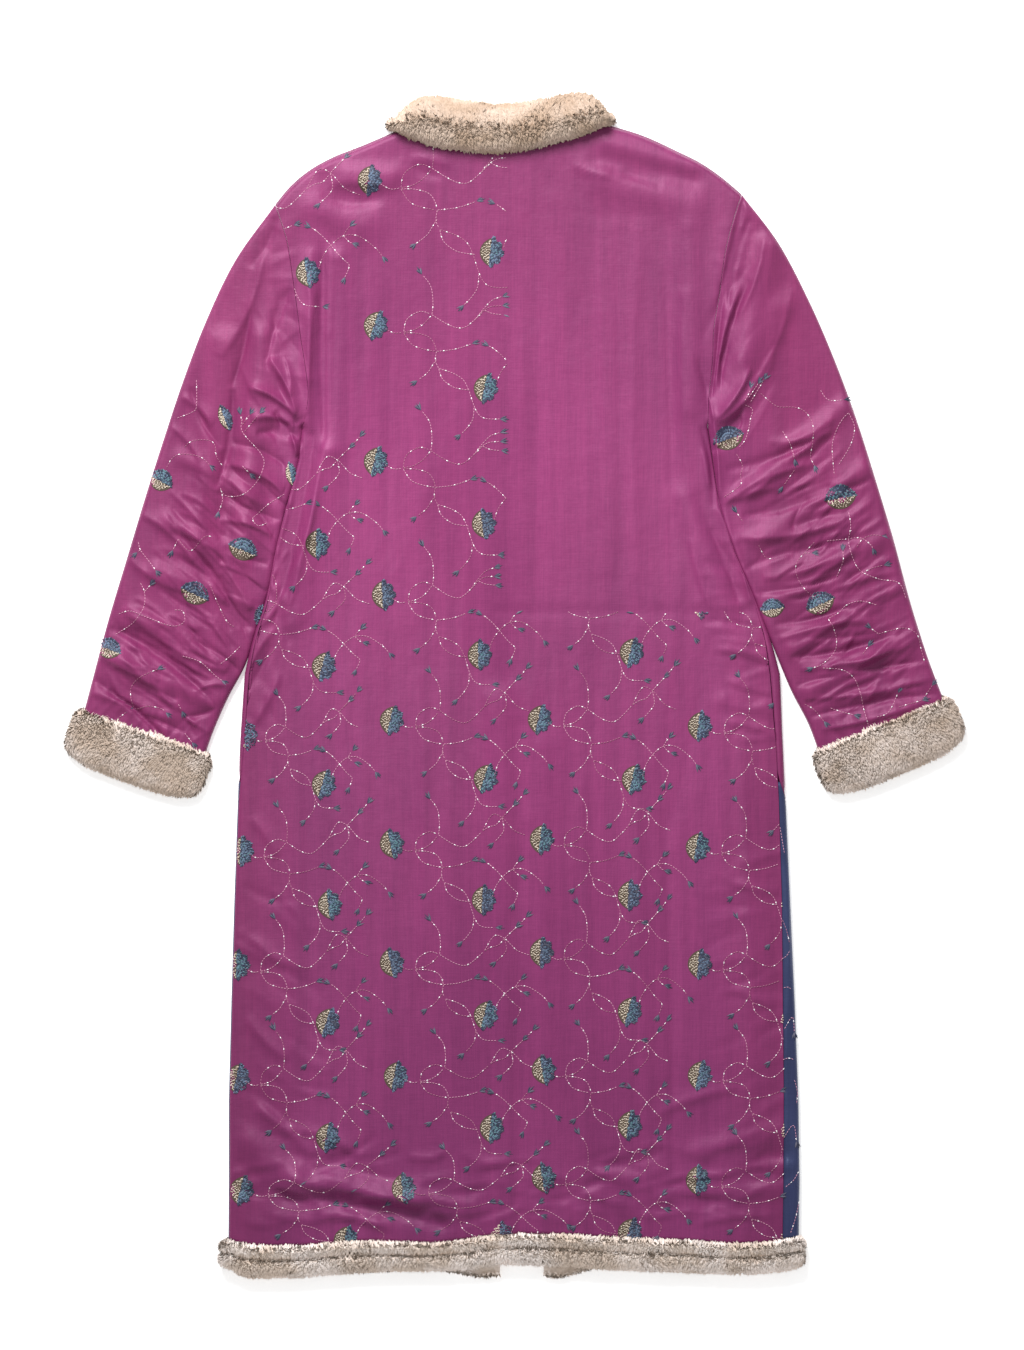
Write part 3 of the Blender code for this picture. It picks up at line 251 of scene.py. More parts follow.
# Finer creases, each along a bowed line; a negative rise is a trough
Crease = namedtuple("Crease", "x0 y0 x1 y1 bow width rise")
CREASES = tuple(Crease(*row) for row in (
    # The back's shoulders, from left to right
    (-192, 492, -130, 488, -5, 5, -1.6), (-186, 503, -118, 500, 3, 6, 1.6),
    (-102, 528, -62, 521, 3, 4, 1.2), (-100, 520, -70, 512, -2, 4, -1),
    (60, 522, 112, 512, -3, 6, 1.4), (96, 514, 150, 500, 4, 5, -1.4),
    (-197, 400, -203, 300, -2, 4, 1.2), (-192, 470, -176, 430, 2, 4, -1.2),
    # The plain silk at the right, hanging in long soft bands
    (40, 500, 46, 120, -4, 20, 0.9), (84, 470, 92, 110, 5, 18, 1.1),
    (126, 470, 124, 90, -5, 17, 1.2), (105, 460, 108, 100, 0, 7, -0.7),
    (152, 420, 158, 120, 3, 8, -0.9), (171, 400, 176, 200, -4, 10, 1.3),
    (184, 330, 196, 272, 3, 5, -1.6), (190, 240, 196, 200, 0, 4, 1.2),
    # Beside the two sleeves, down to the pockets
    (-202, 232, -238, 118, 4, 4, -2.2), (-196, 190, -222, 110, 3, 4, 1.4),
    (-214, 150, -232, 128, 2, 4, 1.6), (-218, 130, -240, 100, -2, 4, -1.4),
    (-226, 100, -252, 62, 3, 5, 1.6), (-236, 60, -262, 20, -3, 5, 1.6),
    (-240, 44, -266, -4, 2, 4, -1.4), (-232, 16, -262, -40, 3, 5, 1.4),
    (196, 160, 226, 84, 3, 4, -1.5), (178, 150, 200, 76, -3, 5, 1.2),
    (186, 66, 246, 60, 2, 3, -1.2), (206, 50, 250, 46, -2, 4, 1.3),
    (200, 34, 254, 20, 3, 4, -1.1), (214, 8, 262, -6, -2, 4, 1.2),
    (210, -34, 264, -48, 2, 4, 1.2),
    # The skirt, in long soft bands and a few short pulls
    (-216, -60, -222, -420, 5, 12, 1.2), (-150, -40, -140, -380, -6, 16, 1),
    (-96, 20, -90, -300, 5, 12, 0.9), (-30, -20, -24, -500, 4, 6, -0.8),
    (66, -80, 74, -480, 6, 14, 1), (128, -60, 134, -420, -5, 14, 1),
    (150, -120, 160, -470, 3, 6, -0.8), (228, -60, 236, -420, 4, 12, 1.2),
    (-262, -130, -236, -170, 3, 5, 1.3), (-264, -250, -230, -282, 3, 5, 1.3),
    (-266, -330, -226, -372, -3, 6, 1.6), (-268, -400, -216, -448, 4, 6, -1.4),
    (-258, -420, -200, -470, 4, 7, 2), (-240, -507, -58, -541, 6, 7, -3),
    (-232, -494, -60, -528, 6, 9, 2.6), (-226, -440, -150, -470, 5, 6, 1.6),
    (-190, -470, -110, -492, -4, 5, -1.4), (-250, -496, -186, -520, 4, 5, 2),
    (-196, -528, -120, -540, 3, 5, 1.8), (-110, -502, -56, -520, 3, 5, 1.4),
    (60, -500, 130, -520, -3, 6, 1.3), (140, -430, 230, -400, 5, 7, 1.5),
    (160, -490, 258, -478, -3, 5, 1.6), (150, -520, 240, -524, 3, 4, -1.2),
    (186, -536, 262, -528, 3, 4, 1.4), (206, -300, 262, -322, 4, 6, 1.2),
    (210, -190, 266, -204, -3, 5, 1.1),
    # The left sleeve, from its head to its cuff
    (-236, 470, -262, 420, 4, 5, -1.4), (-248, 440, -292, 330, 8, 7, 1.6),
    (-222, 400, -246, 318, -4, 5, -2), (-262, 378, -281, 300, 3, 3.5, -1.8),
    (-228, 330, -222, 292, 3, 5, 1.6), (-280, 300, -296, 200, 6, 4, -2.2),
    (-331, 292, -300, 262, 3, 5, 1.8), (-322, 300, -292, 240, -4, 4, -2),
    (-342, 262, -312, 226, 3, 4, 1.4), (-262, 268, -218, 262, 6, 6, 3),
    (-256, 254, -212, 246, 5, 4, -2.6), (-285, 245, -226, 221, 5, 4, -2),
    (-290, 224, -229, 196, 6, 6, 2.6), (-294, 198, -232, 168, -4, 4, -2),
    (-293, 168, -240, 152, 4, 5, 2.2), (-288, 140, -244, 124, -3, 4, -1.8),
    (-293, 124, -247, 98, 3, 5, 2), (-372, 174, -318, 126, 5, 5, 1.6),
    (-340, 156, -272, 62, 7, 4, -2.4), (-330, 162, -262, 78, 6, 6, 2.4),
    (-384, 130, -330, 96, -4, 5, 1.4), (-290, 86, -256, 58, -3, 4, -1.8),
    (-322, 48, -270, 12, 4, 4, -2), (-390, 80, -286, 16, -7, 7, 2.4),
    (-403, 60, -308, -6, 6, 5, -2.4), (-352, 60, -326, 36, 2, 4, -1.4),
    (-413, 32, -316, -38, 6, 6, 2.4), (-420, 10, -328, -44, -5, 4, -2.2),
    (-318, -4, -284, 2, 4, 5, 1.8), (-328, -28, -296, -20, -3, 4, -1.6),
    (-424, -4, -350, -36, 3, 5, 1.8), (-404, -2, -345, -56, 3, 3, -3),
    # The right sleeve, from its head to its cuff
    (238, 470, 216, 380, -5, 4, -1.8), (252, 452, 226, 372, 5, 5, 1.6),
    (238, 408, 208, 300, -6, 4, -2.4), (222, 380, 206, 330, 3, 4, 1.8),
    (280, 400, 236, 296, 7, 8, 1.6), (244, 306, 204, 264, 5, 6, 3),
    (232, 284, 202, 246, 4, 4, -2.2), (303, 250, 214, 219, 6, 4, -2.2),
    (322, 270, 262, 240, 4, 6, 1.6), (300, 224, 211, 184, -6, 6, 2.6),
    (324, 200, 230, 172, 5, 4, -2.2), (358, 208, 314, 198, 3, 3, -1.6),
    (334, 168, 222, 150, 7, 7, 2.4), (324, 141, 232, 119, -5, 4, -2.2),
    (372, 170, 330, 150, 3, 5, 1.4), (346, 141, 250, 109, 5, 6, 2.2),
    (334, 115, 243, 95, 4, 4, -2.2), (386, 115, 324, 98, -3, 6, 1.8),
    (340, 82, 262, 64, 4, 4, -2), (360, 68, 266, 48, -4, 6, 2.2),
    (392, 57, 279, 31, 6, 4, -2.2), (402, 44, 287, 18, 4, 5, 2.2),
    (412, 26, 284, 2, -4, 4, -2.2), (420, 10, 290, -11, 5, 5, 2.2),
    (426, -6, 298, -29, -3, 3.5, -2), (413, -14, 308, -42, 3, 4, 1.8),
    # Deep folds at the two armpits
    (-243, 330, -215, 268, 4, 7, 4), (-264, 300, -217, 272, 5, 5, 3.5),
    (-238, 276, -214, 250, -3, 4, -3.8), (-226, 262, -216, 232, 2, 4, 3),
    (-200, 440, -203, 255, -2, 9, 2.6), (-190, 440, -188.5, 245, -2, 3, -2.6),
    (-176, 430, -181, 240, 0, 12, -1.6), (-188, 245, -226, 72, 3, 6, 2.6),
    (-200, 256, -238, 66, 2, 5, -3.4), (-212, 262, -206, 234, 0, 5, -3.4),
    (231, 492, 209, 395, 2, 3, -2.6), (211, 405, 199, 290, 1, 3, -2.6),
    (228, 400, 203, 300, -5, 5, 3), (238, 320, 203, 268, 4, 6, 3.5),
    (230, 270, 200, 236, 4, 4, -2.6), (194, 300, 206, 190, 4, 4, 2.2),
    (188, 262, 200, 180, 4, 3.5, -2), (206, 180, 238, 84, 3, 4, 2),
    # The gusset at the right edge
    (276, -180, 272, -420, 2, 3, 0.8), (270, -470, 284, -500, 1, 4, 1),
))

# Short pulls where the silk is gathered into a seam: a line, how many, and their size
Pulls = namedtuple("Pulls", "x0 y0 x1 y1 count length width rise")
PULLS = tuple(Pulls(*row) for row in (
    (-280, -536, 282, -532, 46, 26, 3.4, 0.9), (-236, 478, -212, 300, 12, 22, 3.2, 0.9),
    (228, 488, 204, 300, 12, 22, 3.2, 0.9), (-416, -14, -312, -54, 13, 24, 3.2, 1.2),
    (312, -50, 420, -6, 13, 24, 3.2, 1.2), (-200, 80, -244, 60, 5, 24, 3.5, 0.9),
    (-110, 536, 80, 536, 12, 20, 3.4, 0.7),
))

# Fur: how many strands, their size, how many make a tuft, and how they lean round the section
Fur = namedtuple("Fur", "strands length width tuft seed lean section_share", defaults=(1.0,))
COLLAR_FUR = Fur(43000, 4.8, 1.05, 12, 11,
                 ((0, -0.8), (0.35, -0.65), (0.48, -0.3), (0.58, 0.3), (0.75, 0.6), (1, 0.8)))
CUFF_FUR = Fur(29000, 4.6, 1.1, 7, 21,
               ((0, -0.6), (0.15, -0.4), (0.24, 0.5), (0.7, 0.75), (1, 0.6)))
HEM_FUR = Fur(40000, 4.3, 1.05, 8, 31,
              ((0, -0.5), (0.13, -0.35), (0.22, 0.4), (0.4, 0.5), (1, 0.7)))
HEM_SIDE_FUR = HEM_FUR._replace(strands=18000, seed=41)
FUR_ROWS = 4
FUR_COLUMNS = 5
FUR_INSET = 0.3
UNDERSIDE_SHARE = 0.3
UNDERSIDE_TURN = -0.3
FLOOR_CLEARANCE = 0.25
UPWARD_LIGHT = np.array((0.0, -0.12, 1.0))
# How wide the patches are in which strands lean, sway and curl alike, and how much they do
LEAN_PATCH = 30
LEAN_CHANGE = 0.25
SWAY_PATCH = 22
SWAY_CHANGE = 0.45
CURL_PATCH = 34
CURL = 0.4
CURL_CHANGE = 0.35
TUFT_TILT = 0.22
TUFT_LENGTH = 0.1
STRAND_LENGTH = (0.75, 1.15)
BLADE_TURN = 0.25
# How far a blade's middle and its tip reach upright, along its lean and towards its tuft
MIDDLE_REACH = (0.55, 0.22, 0.3)
TIP_REACH = (0.92, 0.8, 0.8)
LEAN_LOWERS = 0.6
LEAST_UPRIGHT = 0.25
# How much a blade's shading follows the fur's face, the blade and chance, beside the light
FACE_SHARE = 0.5
BLADE_SHARE = 0.3
CHANCE_SHARE = 0.2
BLADE_NARROWING = 0.8
BLADE_CORNERS = 5
SEEN_SLOPE = 2
SEEN_LEVEL = 1.15
PLUSH_PATCH = 9
PLUSH_CHANGE = 0.18
RIM_FALL = 1.5
ROUNDNESS = 0.6
# How many places the fur has along the hem: the back, the join, the fold and the front
HEM_BACK_PLACES = 60
HEM_JOIN_PLACES = 4
HEM_FOLD_PLACES = 15
HEM_FRONT_PLACES = 30
CUFF_PLACES = 44
COLLAR_FRONT_STEPS = 9

# Where smaller wrinkles lie thick: a line, how far from it, their lean in degrees, how many,
# and their size
Wrinkles = namedtuple("Wrinkles", "x0 y0 x1 y1 spread lean count length width rise")
WRINKLES = tuple(Wrinkles(*row) for row in (
    (-256, 210, -370, -20, 44, -40, 100, 54, 3, 2.2),
    (-320, 40, -385, 0, 40, -28, 18, 50, 3.8, 1.8),
    (-216, 400, -256, 240, 26, -66, 16, 60, 5, 1.5),
    (262, 240, 372, -12, 46, 30, 106, 56, 3, 2.2), (330, 60, 380, 0, 42, 14, 16, 55, 3.8, 1.8),
    (214, 420, 254, 260, 26, 62, 16, 60, 5, 1.5),
    (-214, 150, -254, -40, 13, -50, 20, 28, 3.5, 1.5),
    (204, 150, 246, -60, 16, 12, 20, 34, 3.5, 1.4),
    (-262, -500, 272, -496, 34, 4, 70, 62, 4.4, 2.5),
    (-246, -200, -216, -480, 30, -30, 20, 60, 5.5, 1.6),
    (230, -160, 240, -480, 30, 16, 22, 55, 5, 1.4),
    (-190, -150, 180, -150, 190, 88, 34, 200, 9, 0.8),
    (-170, 300, 170, 300, 140, 90, 22, 180, 9, 0.6),
))
# How much the pulls and the wrinkles vary: place, reach, lean, size, rise and bow
PULL_SEED = 7
PULL_PLACE = (0.2, 0.8)
PULL_REACH = (0.4, 1.1)
PULL_LEAN = (-9, 9)
PULL_RISE = (0.4, 1.2)
PULL_BOW = (-2, 2)
WRINKLE_SEED = 19
WRINKLE_LEAN = 11
WRINKLE_REACH = (0.3, 0.7)
WRINKLE_SIZE = (0.6, 1.25)
WRINKLE_RISE = (0.4, 1.1)
WRINKLE_BOW = (-6, 6)
# How a crease's section falls off on its upper and its lower side
CREASE_DEPTH = 2.05
CREASE_SHARPNESS = 1.25
CREASE_NARROWING = 0.85
GENTLE_SIDE = 1.35
STEEP_SIDE = 0.7
NARROWEST = 1.6

# The lotus pairs on the back: the first flower's centre, then the second's, lower right
Pair = namedtuple("Pair", "x y next_x next_y")
PAIRS = tuple(Pair(*row) for row in (
    (-144, 508, -22, 436), (-138, 363, -28, 300), (-138, 227, -30, 164), (-130, 93, -34, 33),
    (-122, -32, -28, -90), (-122, -156, -30, -212), (-122, -275, -28, -327),
    (-118, -388, -22, -440), (-110, -500, -12, -548), (24, 94, 118, 36), (26, -31, 120, -91),
    (28, -151, 116, -207), (28, -264, 116, -323), (30, -382, 116, -437), (30, -490, 116, -544),
    (186, 84, 282, 27), (186, -38, 282, -98), (184, -159, 278, -215), (186, -276, 278, -332),
    (186, -387, 278, -443), (184, -492, 278, -548), (-318, 483, -206, 415),
    (-294, 201, -196, 144), (-288, 76, -190, 22), (-268, -47, -190, -96),
    (-272, -163, -184, -217), (-276, -277, -186, -334), (-276, -390, -186, -449),
    (-272, -502, -168, -552),
))

# Vines between the flowers, in units of a pair that is 94 wide and 55 high, down from the
# first flower; bud says whether a bud sits at the vine's end
Vine = namedtuple("Vine", "points bud")
PAIR_WIDTH = 94
PAIR_HEIGHT = 55
PAIR_VINES = (
    Vine(((9, 3), (17, 7), (25, 6)), False),
    Vine(((25, 6), (27, -4), (34, -10), (41, -12), (49, -9)), False),
    Vine(((25, 6), (34, 4), (42, -1), (49, -9)), False),
    Vine(((49, -9), (60, -2), (69, 2), (77, 2), (86, -5), (94, -13)), False),
    Vine(((49, -9), (50, -19), (48, -34), (40, -45)), True),
    Vine(((25, 7), (35, 7), (46, 10), (51, 16), (53, 23)), False),
    Vine(((25, 7), (32, 17), (42, 21), (53, 23)), False),
    Vine(((53, 23), (69, 21), (84, 16)), True),
    Vine(((53, 23), (52, 31), (55, 38)), False),
    Vine(((53, 30), (49, 36), (45, 42), (36, 49)), True),
    Vine(((55, 38), (67, 42), (76, 48), (81, 58)), False),
    Vine(((55, 38), (58, 47), (67, 54), (75, 56), (84, 57)), False),
    Vine(((81, 58), (86, 73), (91, 80), (98, 82), (108, 82)), True),
    Vine(((85, 72), (84, 82), (79, 90), (73, 96)), True),
    Vine(((104, 52), (108, 41), (116, 31), (125, 25), (137, 25), (151, 34), (158, 42)), True),
    Vine(((125, 25), (128, 20), (131, 17)), True),
    Vine(((125, 25), (130, 30), (133, 31)), True),
    Vine(((99, 19), (106, 24), (113, 31), (120, 39), (126, 45), (130, 49), (126, 59)), True),
    Vine(((106, 24), (101, 20), (97, 18)), True),
)
# Where the pattern goes on to the right, and where it ends in buds instead
ONWARD_VINES = (
    Vine(((94, -13), (104, -29), (114, -26), (120, -20), (127, -13), (140, -8)), False),
    Vine(((94, -13), (101, -17), (108, -19), (114, -26)), False),
    Vine(((114, -26), (116, -15), (113, -9), (105, -1)), True),
    Vine(((114, -26), (120, -32), (126, -38)), True),
    Vine(((120, -32), (130, -42), (136, -49)), True),
)
ENDING_VINES = (
    Vine(((86, -5), (94, -15), (101, -22), (110, -25)), True),
    Vine(((90, -10), (99, -16), (110, -17)), True),
    Vine(((94, -13), (101, -10), (111, -9)), True),
)

# Vines on the left sleeve
LEFT_SLEEVE_VINES = (
    Vine(((-316, 308), (-316, 282), (-320, 276), (-338, 269)), False),
    Vine(((-346, 220), (-340, 230), (-330, 234), (-312, 231), (-302, 222)), True),
    Vine(((-328, 241), (-320, 247), (-306, 248), (-298, 244), (-296, 232), (-290, 222)), False),
    Vine(((-270, 269), (-270, 256), (-250, 232), (-250, 217), (-258, 203), (-270, 193),
          (-286, 192), (-292, 198)), False),
    Vine(((-270, 263), (-262, 274)), True),
    Vine(((-270, 263), (-272, 274)), True),
    Vine(((-268, 256), (-252, 275)), True),
    Vine(((-228, 194), (-244, 184), (-256, 173), (-260, 169), (-254, 162), (-244, 166)), False),
    Vine(((-334, 149), (-322, 137), (-308, 151), (-300, 151)), False),
    Vine(((-374, 146), (-372, 138), (-362, 125), (-356, 117)), True),
    Vine(((-372, 138), (-376, 135)), True),
    Vine(((-334, 149), (-340, 137)), True),
    Vine(((-372, 105), (-368, 96), (-368, 83), (-374, 71), (-382, 63), (-398, 53)), False),
    Vine(((-368, 96), (-362, 103)), True),
    Vine(((-394, 74), (-382, 77), (-366, 71), (-348, 64), (-336, 62), (-328, 67), (-330, 77),
          (-340, 78)), False),
    Vine(((-304, 107), (-294, 83), (-286, 67), (-278, 61)), False),
    Vine(((-330, 32), (-312, 26), (-298, 13), (-290, 7)), True),
    Vine(((-292, 24), (-282, 32), (-270, 44)), False),
    Vine(((-350, -21), (-364, -18), (-376, -21), (-380, -16), (-382, -3), (-378, 6), (-368, 13),
          (-354, 19)), True),
    Vine(((-350, -21), (-346, -25)), True),
    Vine(((-334, -16), (-330, -24)), True),
    Vine(((-328, -45), (-320, -55)), True),
    Vine(((-406, -27), (-398, -32), (-386, -24)), True),
    Vine(((-292, 200), (-290, 188), (-294, 176)), True),
    Vine(((-270, 222), (-262, 214)), True),
)
# Vines on the right sleeve
RIGHT_SLEEVE_VINES = (
    Vine(((232, 287), (236, 294), (238, 300)), True),
    Vine(((236, 290), (246, 305)), True),
    Vine(((238, 286), (252, 309)), True),
    Vine(((248, 295), (264, 282), (280, 281), (292, 277), (300, 264), (300, 245), (298, 232),
          (302, 222)), True),
    Vine(((308, 298), (316, 288), (332, 288)), True),
    Vine(((336, 275), (330, 269), (324, 258), (320, 245), (320, 232), (322, 211)), False),
    Vine(((336, 275), (342, 261), (338, 243), (326, 223)), False),
    Vine(((232, 283), (240, 279), (238, 269), (236, 258), (232, 247), (226, 240)), False),
    Vine(((224, 234), (230, 223), (228, 213), (228, 203), (210, 190)), False),
    Vine(((270, 257), (278, 243), (282, 228)), True),
    Vine(((282, 218), (270, 201)), True),
    Vine(((230, 167), (224, 176)), True),
    Vine(((246, 143), (254, 130), (266, 131)), False),
    Vine(((336, 176), (338, 162), (336, 146), (340, 130), (348, 117), (366, 109), (386, 105),
          (394, 88)), False),
    Vine(((348, 114), (360, 120), (372, 123)), True),
    Vine(((314, 147), (334, 149), (348, 150), (358, 143), (360, 139)), True),
    Vine(((344, 141), (350, 149), (360, 153), (370, 152)), True),
    Vine(((302, 146), (292, 135), (284, 125), (284, 113), (292, 99), (302, 91)), False),
    Vine(((292, 135), (300, 135)), True),
    Vine(((324, 111), (330, 126), (330, 138)), True),
    Vine(((364, 83), (348, 87), (334, 83), (326, 75), (316, 69), (320, 62), (324, 49), (322, 36),
          (310, 24), (300, 20)), True),
    Vine(((310, 20), (330, 18), (342, 9), (348, -6), (352, -24), (358, -45)), False),
    Vine(((366, 54), (376, 57), (392, 60), (404, 54), (408, 41), (412, 26)), False),
    Vine(((350, 34), (356, 42)), True),
    Vine(((366, 54), (358, 60)), True),
    Vine(((292, -16), (302, -22), (312, -34)), True),
    Vine(((318, -20), (330, -24), (342, -27)), True),
    Vine(((364, -29), (376, -24), (386, -4)), True),
    Vine(((386, -19), (400, -15), (410, -12)), True),
    Vine(((410, -12), (420, 3)), True),
)

# Lotus flowers: centre, width across pod and petals, length along them, the way the petals
# face in degrees, and the number of the petals' colour
Flower = namedtuple("Flower", "x y width length turn tone")
# The left sleeve's flowers
LEFT_SLEEVE_FLOWERS = tuple(Flower(*row) for row in (
    (-288, 270, 12, 26, 20, 0), (-352, 207, 21, 25, 60, 2), (-222, 214, 10, 24, 10, 1),
    (-270, 138, 22, 30, 68, 1), (-318, 94, 22, 30, 65, 0), (-404, 39, 20, 26, 70, 0),
    (-250, 71, 14, 24, 180, 1),
))
# The right sleeve's flowers
RIGHT_SLEEVE_FLOWERS = tuple(Flower(*row) for row in (
    (216, 249, 23, 32, 110, 0), (328, 190, 24, 32, 100, 2), (308, 84, 22, 30, 115, 1),
    (260, 79, 18, 24, 100, 1),
))
SLEEVE_VINES = {"left": LEFT_SLEEVE_VINES, "right": RIGHT_SLEEVE_VINES}
SLEEVE_FLOWERS = {"left": LEFT_SLEEVE_FLOWERS, "right": RIGHT_SLEEVE_FLOWERS}
# The sprigs on the right gusset
GUSSET_VINES = (
    Vine(((266, -130), (269, -148), (272, -166)), False),
    Vine(((270, -232), (274, -242), (277, -255)), False),
    Vine(((269, -271), (274, -268), (278, -261)), False),
    Vine(((271, -300), (276, -299), (280, -303)), False),
    Vine(((272, -341), (280, -329), (282, -345)), True),
    Vine(((270, -372), (276, -370), (282, -372)), False),
    Vine(((282, -392), (285, -404), (284, -418)), False),
    Vine(((271, -450), (281, -437), (284, -454)), True),
    Vine(((273, -499), (281, -492), (287, -482)), False),
    Vine(((278, -545), (283, -530), (287, -512)), False),
)

# Stitches: their steps and sizes, and where the back's pattern ends
STITCH_STEP = 3.0
STITCH_FILL = 0.9
STITCH_LIFT = 0.25
STITCH_ROOT = 0.35
THREAD_WIDTH = 0.78
BEAD_WIDTH = 1.3
BEAD_EVERY = 4
BUD_LENGTH = 8.2
BUD_WIDTH = 1.9
BEAD_HEIGHT = 0.8
BEAD_CHANCE = 0.75
PINK_SHARE = 0.65
VINE_POINTS = 12
BUD_HEIGHT = 1.1
BUD_TURN = (-0.1, 0.1)
BUD_REACH = (0.85, 1.1)
# A flower's two halves as shares of its width, its petal stitches ring by ring, and its loops
PETAL_SHARE = 0.56
POD_SHARE = 0.44
POD_GROUND = 1.06
POD_LENGTH = 0.9
SMOOTH_POD_LENGTH = 0.98
PETAL_STITCHES = 120
PETAL_RINGS = (0.95, 0.72, 0.48, 0.26)
PETAL_SPREAD = (0.94, 1.04)
PETAL_LEAN = 0.9
PETAL_TURN = (-0.5, 0.5)
PETAL_REACH = (1.3, 2.1)
PETAL_SIZE = (1.5, 1.2)
POD_LOOPS = 52
LOOP_TURN = 2.4
LOOP_REACH = (0.8, 1.3)
LOOP_SIZE = (1.2, 1.3)
BACK_FLOWER_SIZE = (23, 31)
BACK_FLOWER_TURN = (-20, 12)
GROUND_RINGS = (0.0, 0.5, 1.0)
LOBES = 5
LOBE_LOW = 0.84
LOBE_SWING = 0.22
POINTED = 1.5
FIELD_EDGE = -6
FIELD_TOP = 76
PAIR_COLUMN_EDGE = -60
OUTLINE_STEPS = 40
OUTLINE_SLACK = 14.0
GROUND_STEPS = 25
PINK, BEAD, BEIGE, PALE_BEIGE, BLUE, NAVY, TEAL, GREY_BLUE, BROWN, LAVENDER, DIM_PINK = range(11)
BUD_LEAVES = ((0.42, 0.85, NAVY), (-0.42, 0.9, GREY_BLUE), (0.0, 1.0, NAVY), (0.2, 0.85, GREY_BLUE),
              (-0.25, 0.7, LAVENDER))
PETAL_THREADS = ((BLUE, GREY_BLUE), (BLUE, TEAL), (TEAL, BLUE))
THREADS = (
    ("pink_thread", (0.62, 0.3, 0.42), 0.5),
    ("silver_bead", (0.9, 0.84, 0.86), 0.25),
    ("beige_thread", (0.48, 0.4, 0.31), 0.8),
    ("pale_beige_thread", (0.78, 0.68, 0.56), 0.8),
    ("blue_thread", (0.12, 0.175, 0.265), 0.55),
    ("navy_thread", (0.022, 0.028, 0.065), 0.55),
    ("teal_thread", (0.1, 0.21, 0.25), 0.5),
    ("grey_blue_thread", (0.08, 0.08, 0.12), 0.6),
    ("brown_thread", (0.07, 0.045, 0.03), 0.8),
    ("lavender_thread", (0.14, 0.13, 0.19), 0.6),
    ("dim_pink_thread", (0.42, 0.16, 0.25), 0.55),
)

# Silk: each noise's scale along X, Y and Z, its ramp's stops, and how far it tints the silk
Tint = namedtuple("Tint", "scale stops factor")
SLUB_TINT = Tint((60.0, 1500.0, 60.0), ((0.3, (0.8, 0.8, 0.84)), (0.7, (1.12, 1.1, 1.1))), 0.4)
WARP_TINT = Tint((1300.0, 36.0, 60.0), ((0.3, (0.86, 0.84, 0.9)), (0.7, (1.08, 1.08, 1.06))),
                 0.85)
STREAK_TINT = Tint((75.0, 2.2, 75.0), ((0.32, (0.84, 0.83, 0.86)), (0.66, (1.08, 1.08, 1.07))),
                   0.7)
TONE_SCALE = (7.0, 4.0, 7.0)
TONE_STOPS = (0.3, 0.5, 0.72)
CRUMPLE_SCALE = (55.0, 42.0, 55.0)
CRUMPLE_DETAIL = 5.0
NOISE_DETAIL = 3.0
BANDS_A_METRE = 1100.0
WAVE_SCALE = 0.314
# Each bump's strength and its depth in metres
CRUMPLE_BUMP = (0.5, 0.0022)
SLUB_BUMP = (0.35, 0.00025)
WARP_BUMP = (0.25, 0.0002)
BAND_BUMP = (0.2, 0.00006)
GLOSS_BELOW = 0.07
GLOSS_ABOVE = 0.1
# Painted light and shade: a tone that drifts along one axis, from one place and colour to another
PaintedDrift = namedtuple("PaintedDrift", "axis first last")
SILK_PAINTED_SHADE = (
    PaintedDrift("Y", (-0.6, LOW_PAINTED_SHADE_AND_PURPLE), (0.2, FULL_TONE)),
    PaintedDrift("X", (0.2, FULL_TONE), (0.27, SLEEVE_PAINTED_SHADE)),
    PaintedDrift("Y", (0.25, FULL_TONE), (0.5, HIGH_PAINTED_SHADE_AND_GREY)),
)
FUR_PAINTED_LIGHT = PaintedDrift("Y", (-0.6, FUR_LOW_PAINTED_LIGHT), (0.56, FUR_HIGH_PAINTED_SHADE))
FUR_PATCH_SCALE = (26.0, 34.0, 26.0)
FUR_PATCH_STOPS = (0.38, 0.6)
FUR_STRAND_STOPS = ((0.32, (0.78, 0.74, 0.69)), (0.62, (1.06, 1.05, 1.04)))
FUR_STRAND_DETAIL = 2.0
FUR_STRAND_FACTOR = 0.9

# Colours: silk dark, middle and light, its sheen, and the fur's dark and light
MAGENTA = ((0.2, 0.027, 0.11), (0.232, 0.032, 0.124), (0.258, 0.037, 0.138))
MAGENTA_SHEEN = (1.0, 0.55, 0.8)
MAGENTA_ROUGHNESS = 0.5
NAVY_BLUE = ((0.026, 0.034, 0.078), (0.04, 0.055, 0.125), (0.07, 0.1, 0.2))
NAVY_SHEEN = (0.5, 0.6, 0.9)
NAVY_ROUGHNESS = 0.4
FUR_BASE = ((0.64, 0.53, 0.41), (0.78, 0.69, 0.58))
FUR_BASE_GRAIN = 300.0
FUR_STRANDS = ((0.66, 0.55, 0.43), (0.84, 0.76, 0.66))
FUR_STRANDS_GRAIN = 420.0
BEAD_METAL = 0.2

# The studio, in metres and watts
FLOOR_HALF = 6.0
FLOOR_DROP = 0.0004
FLOOR_COLOUR = (0.93, 0.93, 0.93)
FLOOR_ROUGHNESS = 0.9
FLOOR_GLOW = 0.42
WHITE = (1, 1, 1, 1)
SKY_STRENGTH = 0.62
KEY_PLACE = (-0.7, 2.15, 2.05)
KEY_SIZE = 1.1
KEY_POWER = 122
SENSOR_HEIGHT = 36.0
PHOTO_HEIGHT = 1.350
CAMERA_DISTANCE = 6.0
CAMERA_OFFSET = (-0.0005, 0.013)
UPPER_FACE = 0.012

